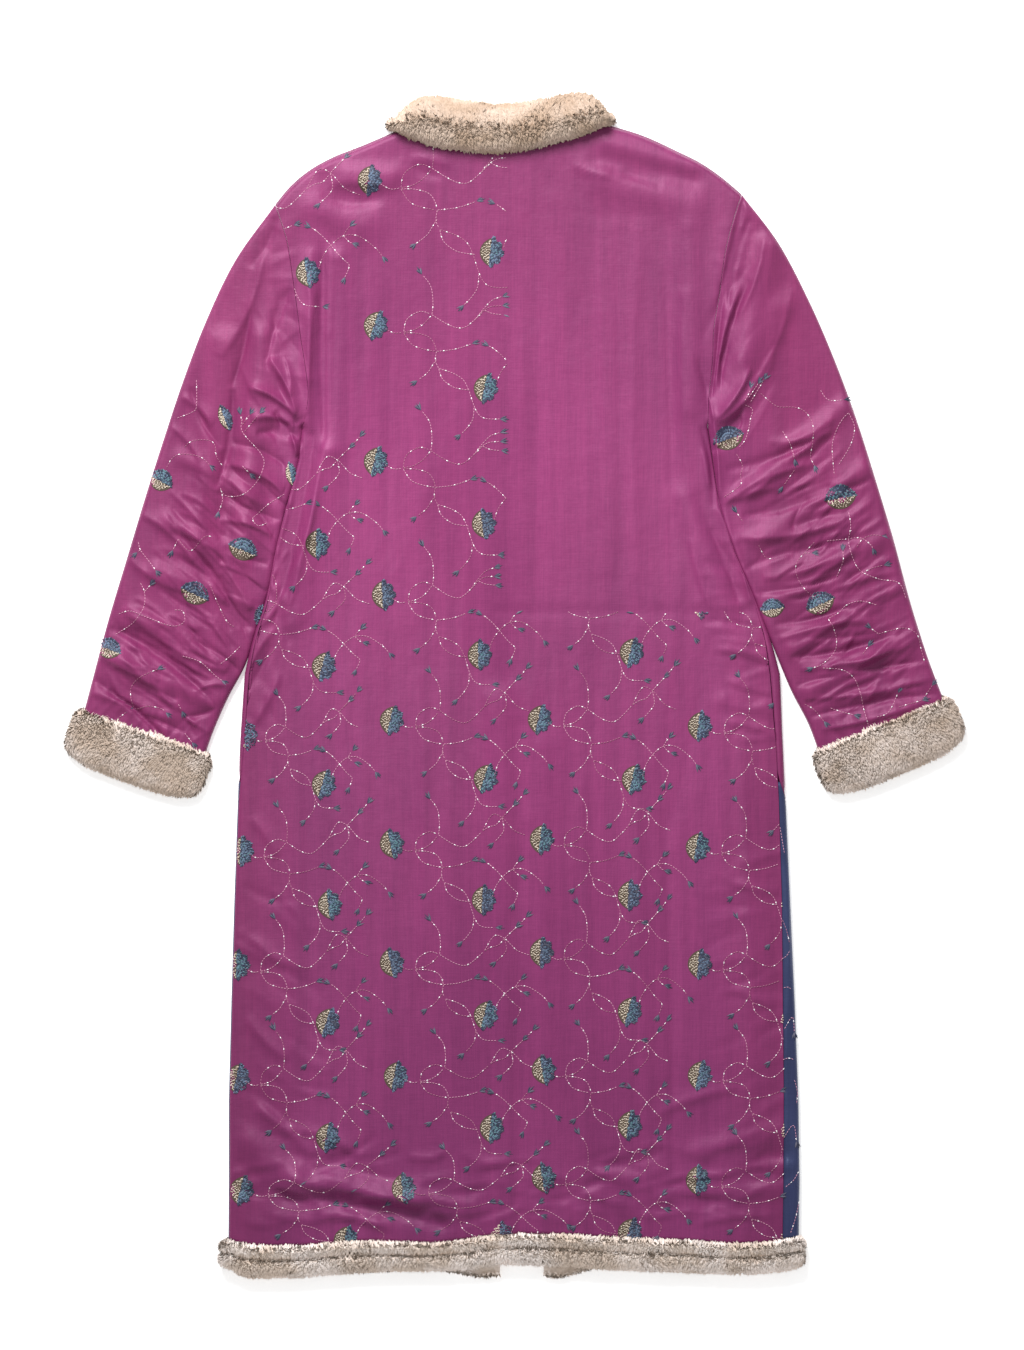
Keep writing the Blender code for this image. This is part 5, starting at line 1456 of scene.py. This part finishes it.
def resample(points, count, closed=False):
    """A smooth curve through the points of the first axis, with even steps between them."""
    points = np.asarray(points, float)
    total = len(points)
    spans = total if closed else total - 1
    places = np.linspace(0, spans, count, endpoint=not closed)
    index = np.minimum(places.astype(int), spans - 1)
    part = (places - index).reshape((-1,) + (1,) * (points.ndim - 1))
    around = []
    for offset in (-1, 0, 1, 2):
        chosen = index + offset
        chosen = chosen % total if closed else np.clip(chosen, 0, total - 1)
        around.append(points[chosen])
    before, start, end, after = around
    bend = 2 * before - 5 * start + 4 * end - after
    twist = 3 * start - before - 3 * end + after
    return start + 0.5 * ((end - before) * part + bend * part ** 2 + twist * part ** 3)


def fur_heights(turn, top):
    """Height of the fur's outer face round a flat loop, at a turn of 1 on top, -1 under."""
    middle = (FUR_OPENING_TOP + FUR_OPENING_FLOOR) / 2
    if turn > 0:
        return middle + (top - middle) * abs(turn) ** ROUNDNESS
    return max(0.0, middle - (middle + 1) * abs(turn) ** ROUNDNESS)


def opening_height(turn):
    middle = (FUR_OPENING_TOP + FUR_OPENING_FLOOR) / 2
    half = (FUR_OPENING_TOP - FUR_OPENING_FLOOR) / 2
    return middle + half * clamp(turn * 3, -1, 1)


def cuff_stations(side):
    table = SLEEVES[side]
    inner_end = np.array((table[-1].inner_x, table[-1].inner_y))
    outer_end = np.array((table[-1].outer_x, table[-1].outer_y))
    width = np.linalg.norm(outer_end - inner_end)
    lateral = (outer_end - inner_end) / width
    axis = np.array((-lateral[1], lateral[0])) * INWARD[side]
    centre = (inner_end + outer_end) / 2
    half = width / 2 + CUFF_BULGE
    stations = []
    for step in range(CUFF_PLACES):
        angle = 2 * math.pi * (step + 0.5) / CUFF_PLACES
        across = math.copysign(abs(math.cos(angle)) ** CUFF_SQUARENESS, math.cos(angle))
        turn = math.sin(angle)
        inner = np.array((*(centre + lateral * (half - CUFF_WALL) * across), opening_height(turn)))
        outer = np.array((*(centre + lateral * half * across), fur_heights(turn, FUR_TOP)))
        along = np.array((*(axis * (CUFF_DEPTH - CUFF_CORNER * across ** 4)), 0))
        stations.append((inner, outer, along, FUR_PRESS * clamp(-turn * 2)))
    return stations


def trim_station(x, table, inner_z, outer_z, press, spread_x=0.0, inner_x=0.0):
    """One station of the hem's fur, hanging from the silk's edge at x."""
    start = column(HEM_TRIM, ("x", "silk_edge"), x) - TRIM_CLEARANCE
    low = column(table, ("x", "low"), x)
    inner = np.array((x + inner_x, start, inner_z))
    outer = np.array((x + spread_x, start, outer_z))
    return inner, outer, np.array((0, low - start, 0)), press


def hem_back_stations():
    first = TRIM_JOIN["left"] + SEAM_GAP / 2
    last = TRIM_JOIN["right"] - SEAM_GAP / 2
    return [trim_station(x, HEM_TRIM, FUR_OPENING_TOP, FUR_TOP, 0.0)
            for x in np.linspace(first, last, HEM_BACK_PLACES)]


def hem_side_stations(side):
    """The fur of one front's hem, from its join on the back round the fold to the centre."""
    way = -INWARD[side]
    turn_x = getattr(BODY[0], side) - way * TRIM_FOLD_INSET
    join = TRIM_JOIN[side] + way * SEAM_GAP / 2
    stations = [trim_station(x, HEM_TRIM, FUR_OPENING_TOP, FUR_TOP, 0.0)
                for x in np.linspace(join, turn_x, HEM_JOIN_PLACES)[:-1]]
    for angle in np.linspace(math.pi / 2, -math.pi / 2, HEM_FOLD_PLACES):
        turn = math.sin(angle)
        table = HEM_TRIM if turn > 0 else FRONT_TRIM
        reach = way * (TRIM_BULGE[side] + TRIM_FOLD_INSET) * math.cos(angle)
        opening = way * TRIM_FOLD_OPENING * math.cos(angle)
        stations.append(trim_station(turn_x, table, opening_height(turn),
                                     fur_heights(turn, FUR_TOP), FUR_PRESS * clamp(-turn),
                                     reach, opening))
    centre_x = FRONT_CENTRE_HEM + way * FRONT_GAP_HEM / 2
    stations += [trim_station(x, FRONT_TRIM, FUR_OPENING_FLOOR, 0.0, FUR_PRESS)
                 for x in np.linspace(turn_x, centre_x, HEM_FRONT_PLACES)[1:]]
    return stations


def collar_front(side):
    """The collar's stations on a front, from its end at the side to the centre."""
    neck = front_neck(side)
    stations = []
    for share in np.linspace(COLLAR_FRONT_START, 1, COLLAR_FRONT_STEPS):
        point = neck(share)
        behind = column(COLLAR, ("x", "high"), point[0]) - COLLAR_FRONT_DROP
        high = min(point[1] + COLLAR_BAND, behind)
        start = np.array((point[0], point[1] + 2 * COLLAR_CLEARANCE))
        inner = np.array((*start, FUR_OPENING_FLOOR))
        outer = np.array((*start, 0.0))
        stations.append((inner, outer, np.array((0, high - start[1], 0)), FUR_PRESS))
    return stations


def collar_turn(side):
    """The collar's stations round its folded end, from the top down to the floor."""
    end = COLLAR_END[side]
    way = -INWARD[side]
    stations = []
    for angle in COLLAR_TURN_ANGLES:
        turn = math.sin(math.radians(angle))
        reach = math.cos(math.radians(angle))
        x = end.x - way * COLLAR_TURN_INSET * (COLLAR_TURN_SPREAD - reach)
        y = end.y - COLLAR_TURN_DROP
        inner = np.array((x - way * COLLAR_TURN_WALL, y, opening_height(turn)))
        outer = np.array((x + way * COLLAR_TURN_BULGE * reach, y, fur_heights(turn, FUR_TOP)))
        depth = COLLAR_TURN_DEPTH - COLLAR_TURN_TAPER * reach
        stations.append((inner, outer, np.array((0, depth, 0)), FUR_PRESS * clamp(-turn)))
    return stations


def collar_stations():
    stations = collar_front("left")[::-1] + collar_turn("left")[::-1]
    for row in COLLAR:
        low = row.low + COLLAR_CLEARANCE
        inner = np.array((row.x, low, FUR_OPENING_TOP))
        outer = np.array((row.x, low, COLLAR_TOP))
        stations.append((inner, outer, np.array((0, row.high - low, 0)), 0.0))
    return stations + collar_turn("right") + collar_front("right")


def band_rows(stations, section):
    """The form of the fur: at each station its section, from the silk round to its end."""
    rows = []
    for inner, outer, across, press in stations:
        row = []
        for pile in section:
            rise = pile.rise + (1 - pile.rise) * press if pile.rise > 0 else 0.0
            row.append(inner + (outer - inner) * rise + across * pile.depth)
        rows.append(row)
    return np.array(rows)


def unit(vectors):
    return vectors / (np.linalg.norm(vectors, axis=-1, keepdims=True) + 1e-9)


def wander(points, size, seed):
    """A smooth field between about -1 and 1, whose patches are about as wide as the size."""
    chance = np.random.default_rng(seed)
    total = np.zeros(points.shape[:-1])
    for _ in range(5):
        direction = unit(chance.normal(size=3)) * 2 * math.pi / (size * chance.uniform(1.2, 2.6))
        total += np.sin(points @ direction + chance.uniform(0, 2 * math.pi))
    return total / 3


def band_frame(grid, ring):
    """Outward normals of the band, its direction round the section, and whether it turns left."""
    across = np.roll(grid, -1, axis=1) - np.roll(grid, 1, axis=1)
    if ring:
        along = np.roll(grid, -1, axis=0) - np.roll(grid, 1, axis=0)
    else:
        along = np.gradient(grid, axis=0)
    normals = unit(np.cross(along, across))
    is_left = np.sum(normals * (grid - grid.mean(axis=1, keepdims=True))) < 0
    return (-normals if is_left else normals), unit(across), is_left


def strand_roots(grid, weights, count, chance):
    """Random places on the band's faces: their rows and columns, with fractions."""
    corner = grid[:-1, :-1]
    area = np.linalg.norm(np.cross(grid[1:, :-1] - corner, grid[:-1, 1:] - corner), axis=-1)
    area = area * weights[:-1, :-1]
    cells = chance.choice(area.size, size=count, p=(area / area.sum()).ravel())
    row, place = np.divmod(cells, area.shape[1])
    return row + chance.random(count), place + chance.random(count)


def on_grid(values, row, place):
    """Values between the points of a grid."""
    low = row.astype(int)
    left = place.astype(int)
    down = (row - low)[:, None]
    right = (place - left)[:, None]
    top = values[low, left] * (1 - right) + values[low, left + 1] * right
    bottom = values[low + 1, left] * (1 - right) + values[low + 1, left + 1] * right
    return top * (1 - down) + bottom * down


def nearest_tuft(roots, tufts):
    """The number of the tuft that each strand belongs to."""
    tree = KDTree(len(tufts))
    for index, point in enumerate(tufts):
        tree.insert(point, index)
    tree.balance()
    return np.array([tree.find(point)[1] for point in roots])


def make_strands(grid, normals, across, weights, fur):
    """Points, normals and faces of the strands: flat blades that bend and meet in tufts."""
    chance = np.random.default_rng(fur.seed)
    row, place = strand_roots(grid, weights, fur.strands, chance)
    root = on_grid(grid, row, place)
    normal = unit(on_grid(normals, row, place))
    flow = unit(on_grid(across, row, place))
    side = np.cross(normal, flow)
    share = place / (grid.shape[1] - 1) * fur.section_share
    lean = np.interp(share, *zip(*fur.lean)) + LEAN_CHANGE * wander(root, LEAN_PATCH, fur.seed + 1)
    sway = SWAY_CHANGE * wander(root, SWAY_PATCH, fur.seed + 2)
    tufts = chance.choice(fur.strands, fur.strands // fur.tuft, replace=False)
    number = nearest_tuft(root, root[tufts])
    pull = root[tufts][number] - root
    tilt = chance.normal(size=(len(tufts), 2)) * TUFT_TILT
    lean = lean + tilt[number, 0]
    sway = sway + tilt[number, 1]
    length = fur.length * (1 + chance.normal(size=len(tufts))[number] * TUFT_LENGTH)
    length = (length * chance.uniform(*STRAND_LENGTH, fur.strands))[:, None]
    curl = np.clip(wander(root, CURL_PATCH, fur.seed + 3), -1, 1)[:, None]
    curly = CURL + CURL_CHANGE * curl
    flat = flow * lean[:, None] + side * sway[:, None]
    rising = np.sqrt(np.clip(1 - LEAN_LOWERS * lean ** 2, LEAST_UPRIGHT, 1))
    upright = normal * rising[:, None]
    middle, tip = [root + length * (upright * high + flat * away) + pull * gathered * curly
                   for high, away, gathered in (MIDDLE_REACH, TIP_REACH)]
    edge = np.cross(normal, flat + chance.normal(size=root.shape) * BLADE_TURN)
    edge = unit(edge) * fur.width / 2
    outward = np.sum(np.cross(edge, tip - root) * normal, axis=1, keepdims=True)
    edge = edge * np.sign(outward + TINY * TINY)
    narrow = edge * BLADE_NARROWING
    points = np.stack((root - edge, root + edge, middle - narrow, middle + narrow, tip), axis=1)
    points = points.reshape(-1, 3)
    points[:, 2] = np.maximum(points[:, 2], FLOOR_CLEARANCE)
    lit = UPWARD_LIGHT * np.where(normal[:, 2:] < UNDERSIDE_TURN, -1, 1)
    facing = unit(lit + FACE_SHARE * normal + BLADE_SHARE * unit(tip - root)
                  + CHANCE_SHARE * side * chance.normal(size=(fur.strands, 1)))
    facing = np.repeat(facing, BLADE_CORNERS, axis=0)
    first = BLADE_CORNERS * np.arange(fur.strands)[:, None]
    quads = (first + (0, 1, 3, 2)).tolist()
    triangles = (first + (2, 3, 4)).tolist()
    return points, facing, quads, triangles


def make_fur(name, stations, section, ring, fur, materials):
    """A trim of fur: a set-in base of the trim's form, with strands up to its outline."""
    rows = band_rows(stations, section)
    grid = resample(rows, len(rows) * FUR_ROWS, ring)
    columns = len(section) * FUR_COLUMNS
    grid = np.swapaxes(resample(np.swapaxes(grid, 0, 1), columns, True), 0, 1)
    normals, across, is_left = band_frame(grid, ring)
    place = np.arange(columns) / FUR_COLUMNS
    outside = np.clip(np.minimum(place, len(section) - 1 - place) * RIM_FALL, 0, 1)
    plush = 1 - PLUSH_CHANGE * wander(grid, PLUSH_PATCH, fur.seed + 4)
    depth = fur.length * FUR_INSET * outside[None, :] * plush
    base = grid - normals * depth[..., None]
    base[..., 2] = np.maximum(base[..., 2], FLOOR_CLEARANCE)
    seen = np.clip(normals[..., 2] * SEEN_SLOPE + SEEN_LEVEL, UNDERSIDE_SHARE, 1)
    seen = seen * (outside > 0)
    if ring:
        base, normals, across, seen = [np.concatenate((values, values[:1]))
                                       for values in (base, normals, across, seen)]
    fur = fur._replace(section_share=columns / FUR_COLUMNS / (len(section) - 1))
    points, facing, quads, triangles = make_strands(base, normals, across, seen, fur)
    body = base[:-1] if ring else base
    count = body.shape[0] * columns
    faces = grid_faces(body.shape[0], columns, True)
    if ring:
        last = (body.shape[0] - 1) * columns
        faces += [(last + index, last + (index + 1) % columns, (index + 1) % columns, index)
                  for index in range(columns)]
    else:
        faces += [tuple(range(columns)), tuple(range(count - 1, count - 1 - columns, -1))]
    if not is_left:
        faces = [face[::-1] for face in faces]
    strands = [tuple(count + corner for corner in face) for face in quads + triangles]
    item = new_object(name, np.concatenate((body.reshape(-1, 3), points)), faces + strands,
                      materials[0])
    item.data.materials.append(materials[1])
    numbers = np.zeros(len(faces) + len(strands), dtype=np.int32)
    numbers[len(faces):] = 1
    item.data.polygons.foreach_set("material_index", numbers)
    body_normals = (normals[:-1] if ring else normals).reshape(-1, 3)
    corner_normals = np.concatenate((body_normals, facing)).tolist()
    item.data.normals_split_custom_set_from_vertices(corner_normals)
    return item


def fur_material(name, colours, grain):
    """Plush in soft patches of cream and tan, with each strand a little different, painted light
    and shade from the hem to the collar, and a faint painted glow.
    """
    material, tree, shader = new_material(name)
    place = add_node(tree, "ShaderNodeTexCoord")
    patches = noise_at(tree, place, FUR_PATCH_SCALE)
    strands = noise_at(tree, place, (grain, grain, grain), FUR_STRAND_DETAIL)
    colour = ramp_over(tree, patches, tuple(zip(FUR_PATCH_STOPS, colours)))
    strand_colour = ramp_over(tree, strands, FUR_STRAND_STOPS)
    colour = mix_colours(tree, colour, strand_colour, FUR_STRAND_FACTOR)
    # Painted light at the hem and painted shade at the collar
    colour = add_painted_light(tree, place, colour, FUR_PAINTED_LIGHT)
    tree.links.new(colour, shader.inputs["Base Color"])
    # A faint painted glow in the fur's dark colour lifts the shade between the strands
    set_inputs(shader, {"Roughness": 0.7, "Emission Color": (*colours[0], 1),
                        "Emission Strength": PAINTED_FUR_GLOW, "Specular IOR Level": 0.3,
                        "Sheen Weight": 0.15, "Sheen Roughness": 0.5})
    return material


Cloth = namedtuple("Cloth", "outline folds")


def back_cloth():
    left = seam_edge("left")
    right = seam_edge("right")
    top = back_top()
    hem = hem_between(left(0), right(0))
    shares = np.linspace(0, 1, OUTLINE_STEPS)
    outline = [hem(u) for u in shares] + [right(v) for v in shares]
    outline += [top(1 - u) for u in shares] + [left(1 - v) for v in shares]
    return Cloth(np.array(outline)[:, :2], body_folds())


def sleeve_cloth(side):
    plan, folds = sleeve_plan(side)
    shares = np.linspace(0, 1, OUTLINE_STEPS)
    outline = [plan(u, 0) for u in shares] + [plan(1, v) for v in shares]
    outline += [plan(1 - u, 1) for u in shares] + [plan(0, 1 - v) for v in shares]
    return Cloth(np.array(outline)[:, :2], folds)


def gusset_cloth(side):
    heights = np.linspace(HEM_START, GUSSET_TIP - GUSSET_BLUNT, OUTLINE_STEPS)
    outline = [side_point(side, height, 0.0) for height in heights]
    outline += [side_point(side, height, seam_inset(height, side)) for height in heights[::-1]]
    return Cloth(np.array(outline)[:, :2], body_folds())


def is_inside(cloth, x, y):
    """Whether a point lies in the cloth's outline: an odd count of edges lies to its right."""
    start = cloth.outline
    end = np.roll(start, -1, axis=0)
    crossed = (start[:, 1] > y) != (end[:, 1] > y)
    rise = np.where(end[:, 1] == start[:, 1], 1.0, end[:, 1] - start[:, 1])
    reach = start[:, 0] + (y - start[:, 1]) * (end[:, 0] - start[:, 0]) / rise
    return int(np.sum(crossed & (reach > x))) % 2 == 1


def on_cloth(cloth, x, y):
    """The place on the cloth's outer face above a point of the plan."""
    point = np.array((x, y), float)
    nearest = np.min(np.hypot(*(cloth.outline - point).T))
    if nearest > FOLD_RADIUS + OUTLINE_SLACK:
        outer = np.array((x, y, top_height(x, y)))
    else:
        distance, inward = nearest_fold(point, cloth.folds)
        outer = np.array(wall_points(point, distance, inward, True)[0])
    outer[2] += STITCH_LIFT
    return outer


def lobed(turn, lobes):
    """The reach of a flower's edge at a share of its half turn: lobed, or even with no lobes."""
    return LOBE_LOW + LOBE_SWING * abs(math.sin(turn * math.pi * lobes)) if lobes else 1.0


class Sewing:
    """Stitches that gather on one piece of cloth and become one mesh."""

    def __init__(self, cloth, allowed):
        self.cloth = cloth
        self.allowed = allowed
        self.starts = []
        self.ends = []
        self.sizes = []
        self.threads = []
        self.grounds = []
        self.chance = random.Random(5)

    def stitch(self, start, end, width, height, thread):
        x = (start[0] + end[0]) / 2
        y = (start[1] + end[1]) / 2
        if self.allowed(x, y) and is_inside(self.cloth, x, y):
            self.starts.append(on_cloth(self.cloth, *start))
            self.ends.append(on_cloth(self.cloth, *end))
            self.sizes.append((width, height))
            self.threads.append(thread)

    def vine(self, points):
        """Running stitches along a smooth line, with a bright bead now and then."""
        dense = resample(points, VINE_POINTS * len(points))
        lengths = np.concatenate(([0], np.cumsum(np.hypot(*np.diff(dense, axis=0).T))))
        count = max(1, int(lengths[-1] / STITCH_STEP))
        place = 0.0
        thread = PINK if self.chance.random() < PINK_SHARE else DIM_PINK
        for index in range(count):
            start, end = [(np.interp(at, lengths, dense[:, 0]), np.interp(at, lengths, dense[:, 1]))
                          for at in (place, place + STITCH_STEP * STITCH_FILL)]
            place += STITCH_STEP
            if index % BEAD_EVERY == 2 and self.chance.random() < BEAD_CHANCE:
                self.stitch(start, end, BEAD_WIDTH, BEAD_WIDTH * BEAD_HEIGHT, BEAD)
            else:
                self.stitch(start, end, THREAD_WIDTH, THREAD_WIDTH, thread)

    def bud(self, x, y, angle):
        """A few grey-blue stitches side by side, like a closed bud."""
        for turn, size, thread in BUD_LEAVES:
            lean = angle + turn + self.chance.uniform(*BUD_TURN)
            reach = BUD_LENGTH * size * self.chance.uniform(*BUD_REACH)
            foot = (x - math.cos(angle), y - math.sin(angle))
            end = (x + math.cos(lean) * reach, y + math.sin(lean) * reach)
            self.stitch(foot, end, BUD_WIDTH, BUD_HEIGHT, thread)

    def ground(self, centre, reach, along, lobes, thread):
        """The dark cloth under half a flower, with a lobed edge or a smooth one."""
        if not (self.allowed(*centre) and is_inside(self.cloth, *centre)):
            return
        rings = []
        for place in GROUND_RINGS:
            ring = []
            for swing in np.linspace(-math.pi / 2, math.pi / 2, GROUND_STEPS):
                lobe = place * lobed(swing / math.pi + 0.5, lobes)
                narrow = max(math.cos(swing), 0) ** POINTED
                spot = centre + reach * narrow * lobe + along * math.sin(swing) * lobe
                ring.append(on_cloth(self.cloth, *spot) if is_inside(self.cloth, *spot) else None)
            rings.append(ring)
        self.grounds.append((rings, thread))

    def flower(self, flower, lobes):
        """A lotus: a pod of beige loops on one side and a fan of blue petals on the other."""
        angle = math.radians(flower.turn)
        facing = np.array((math.cos(angle), math.sin(angle)))
        along = np.array((-facing[1], facing[0]))
        centre = np.array((flower.x, flower.y), float)
        half = flower.length / 2
        petal = flower.width * PETAL_SHARE
        pod = flower.width * POD_SHARE
        blue, other = PETAL_THREADS[flower.tone]
        pod_length = half * (POD_LENGTH if lobes else SMOOTH_POD_LENGTH)
        self.ground(centre, facing * petal, along * half, lobes, NAVY)
        self.ground(centre, -facing * pod * POD_GROUND, along * pod_length, 0, BROWN)
        for index in range(PETAL_STITCHES):
            turn = (index + 0.5) / PETAL_STITCHES
            ring = index % len(PETAL_RINGS)
            swing = (turn - 0.5) * math.pi
            place = lobed(turn, lobes) * PETAL_RINGS[ring] * self.chance.uniform(*PETAL_SPREAD)
            spot = centre + facing * (math.cos(swing) ** POINTED * petal * place)
            spot = spot + along * (math.sin(swing) * half * place)
            lean = swing * PETAL_LEAN + self.chance.uniform(*PETAL_TURN)
            way = facing * math.cos(lean) + along * math.sin(lean)
            reach = way * self.chance.uniform(*PETAL_REACH)
            thread = self.chance.choice((NAVY, NAVY, GREY_BLUE, blue) if ring == 0 else
                                        (blue, blue, other, NAVY))
            self.stitch(spot - reach, spot + reach, *PETAL_SIZE, thread)
        for index in range(POD_LOOPS):
            radius = math.sqrt((index + 0.5) / POD_LOOPS)
            swing = index * LOOP_TURN
            height = radius * math.sin(swing)
            breadth = pod * (1 - height * height)
            spot = centre - facing * (breadth * (0.5 + 0.46 * radius * math.cos(swing)))
            spot = spot + along * (pod_length * 0.92 * height)
            lean = self.chance.uniform(0, math.pi)
            reach = np.array((math.cos(lean), math.sin(lean))) * self.chance.uniform(*LOOP_REACH)
            thread = self.chance.choice((BEIGE, PALE_BEIGE, PALE_BEIGE))
            self.stitch(spot - reach, spot + reach, *LOOP_SIZE, thread)

    def vines(self, rows, shape=None):
        for row in rows:
            points = [shape(*point) for point in row.points] if shape else row.points
            self.vine(points)
            if row.bud:
                (x0, y0), (x, y) = points[-2:]
                self.bud(x, y, math.atan2(y - y0, x - x0))

    def mesh(self, name, threads):
        """One mesh of low ridges, with three corners across the middle of each stitch."""
        start = np.array(self.starts)
        end = np.array(self.ends)
        sizes = np.array(self.sizes)
        middle = (start + end) / 2
        side = unit(np.cross(end - start, (0.0, 0.0, 1.0))) * sizes[:, :1] / 2
        top = middle + np.array((0.0, 0.0, 1.0)) * sizes[:, 1:]
        low = np.array((0.0, 0.0, STITCH_ROOT))
        points = np.stack((start, end, middle - side - low, middle + side - low, top), axis=1)
        points = points.reshape(-1, 3)
        first = 5 * np.arange(len(start))[:, None]
        faces = []
        for corners in ((0, 3, 4), (0, 4, 2), (1, 4, 3), (1, 2, 4)):
            faces += (first + corners).tolist()
        numbers = [thread for corners in range(4) for thread in self.threads]
        points = list(points)
        for rings, thread in self.grounds:
            for lower, upper in zip(rings, rings[1:]):
                for index in range(GROUND_STEPS - 1):
                    corners = (lower[index], lower[index + 1], upper[index + 1], upper[index])
                    if all(corner is not None for corner in corners):
                        faces.append(tuple(range(len(points), len(points) + 4)))
                        points += corners
                        numbers.append(thread)
        item = new_object(name, points, faces, threads[0])
        for thread in threads[1:]:
            item.data.materials.append(thread)
        item.data.polygons.foreach_set("material_index", np.array(numbers, dtype=np.int32))
        return item


def back_field(x, y):
    """Where the back is sewn: all of its left part, and all of its lower part."""
    return x < FIELD_EDGE or y < FIELD_TOP


def sew_back(threads):
    sewing = Sewing(back_cloth(), back_field)
    for number, pair in enumerate(PAIRS):
        wide = (pair.next_x - pair.x) / PAIR_WIDTH
        high = (pair.y - pair.next_y) / PAIR_HEIGHT

        def shape(x, y, pair=pair, wide=wide, high=high):
            return pair.x + x * wide, pair.y - y * high

        ends_here = PAIR_COLUMN_EDGE < pair.next_x < FIELD_EDGE and pair.y > FIELD_TOP
        sewing.vines(PAIR_VINES, shape)
        sewing.vines(ENDING_VINES if ends_here else ONWARD_VINES, shape)
        for x, y, tone in ((pair.x, pair.y, number), (pair.next_x, pair.next_y, number + 1)):
            turn = sewing.chance.uniform(*BACK_FLOWER_TURN)
            tone = tone % len(PETAL_THREADS)
            sewing.flower(Flower(x, y, *BACK_FLOWER_SIZE, turn, tone), LOBES)
    return sewing.mesh("embroidery_back", threads)


def sew_sleeve(side, threads):
    sewing = Sewing(sleeve_cloth(side), lambda x, y: True)
    sewing.vines(SLEEVE_VINES[side])
    for flower in SLEEVE_FLOWERS[side]:
        sewing.flower(flower, 0)
    return sewing.mesh("embroidery_sleeve_" + side, threads)


def sew_gusset(side, threads):
    sewing = Sewing(gusset_cloth(side), lambda x, y: True)
    sewing.vines(GUSSET_VINES)
    return sewing.mesh("embroidery_gusset_" + side, threads)


def thread_materials():
    """The threads in the order of their numbers; the bead's silver is a little metallic."""
    threads = [plain_material(*row) for row in THREADS]
    set_inputs(threads[BEAD].node_tree.nodes["Principled BSDF"], {"Metallic": BEAD_METAL})
    return threads


def main():
    magenta = silk_material("magenta_silk", MAGENTA, MAGENTA_SHEEN, MAGENTA_ROUGHNESS)
    navy = silk_material("navy_silk", NAVY_BLUE, NAVY_SHEEN, NAVY_ROUGHNESS)
    pieces = {"back": make_back(magenta)}
    for side in SIDES:
        pieces["front_" + side] = make_front(side, magenta)
        pieces["gusset_" + side] = make_gusset(side, navy)
        pieces["sleeve_" + side] = make_sleeve(side, magenta)
    furs = (fur_material("fur_base", FUR_BASE, FUR_BASE_GRAIN),
            fur_material("fur_strands", FUR_STRANDS, FUR_STRANDS_GRAIN))
    pieces["collar"] = make_fur("collar_fur", collar_stations(), TURNED_ROLL, False,
                                COLLAR_FUR, furs)
    pieces["hem_trim_back"] = make_fur("hem_fur_back", hem_back_stations(), TWO_ROLLS, False,
                                       HEM_FUR, furs)
    for side in SIDES:
        pieces["cuff_" + side] = make_fur("cuff_fur_" + side, cuff_stations(side), ROLL, True,
                                          CUFF_FUR, furs)
        pieces["hem_trim_" + side] = make_fur("hem_fur_" + side, hem_side_stations(side),
                                              TWO_ROLLS, False, HEM_SIDE_FUR, furs)
    for node, piece in pieces.items():
        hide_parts(node)

    threads = thread_materials()
    sew_back(threads)
    for side in SIDES:
        sew_sleeve(side, threads)
    sew_gusset("right", threads)
    for side in SIDES:
        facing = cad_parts["pocket_facing_" + side]
        facing.data.materials.clear()
        facing.data.materials.append(navy)
    make_floor()
    make_studio()


main()
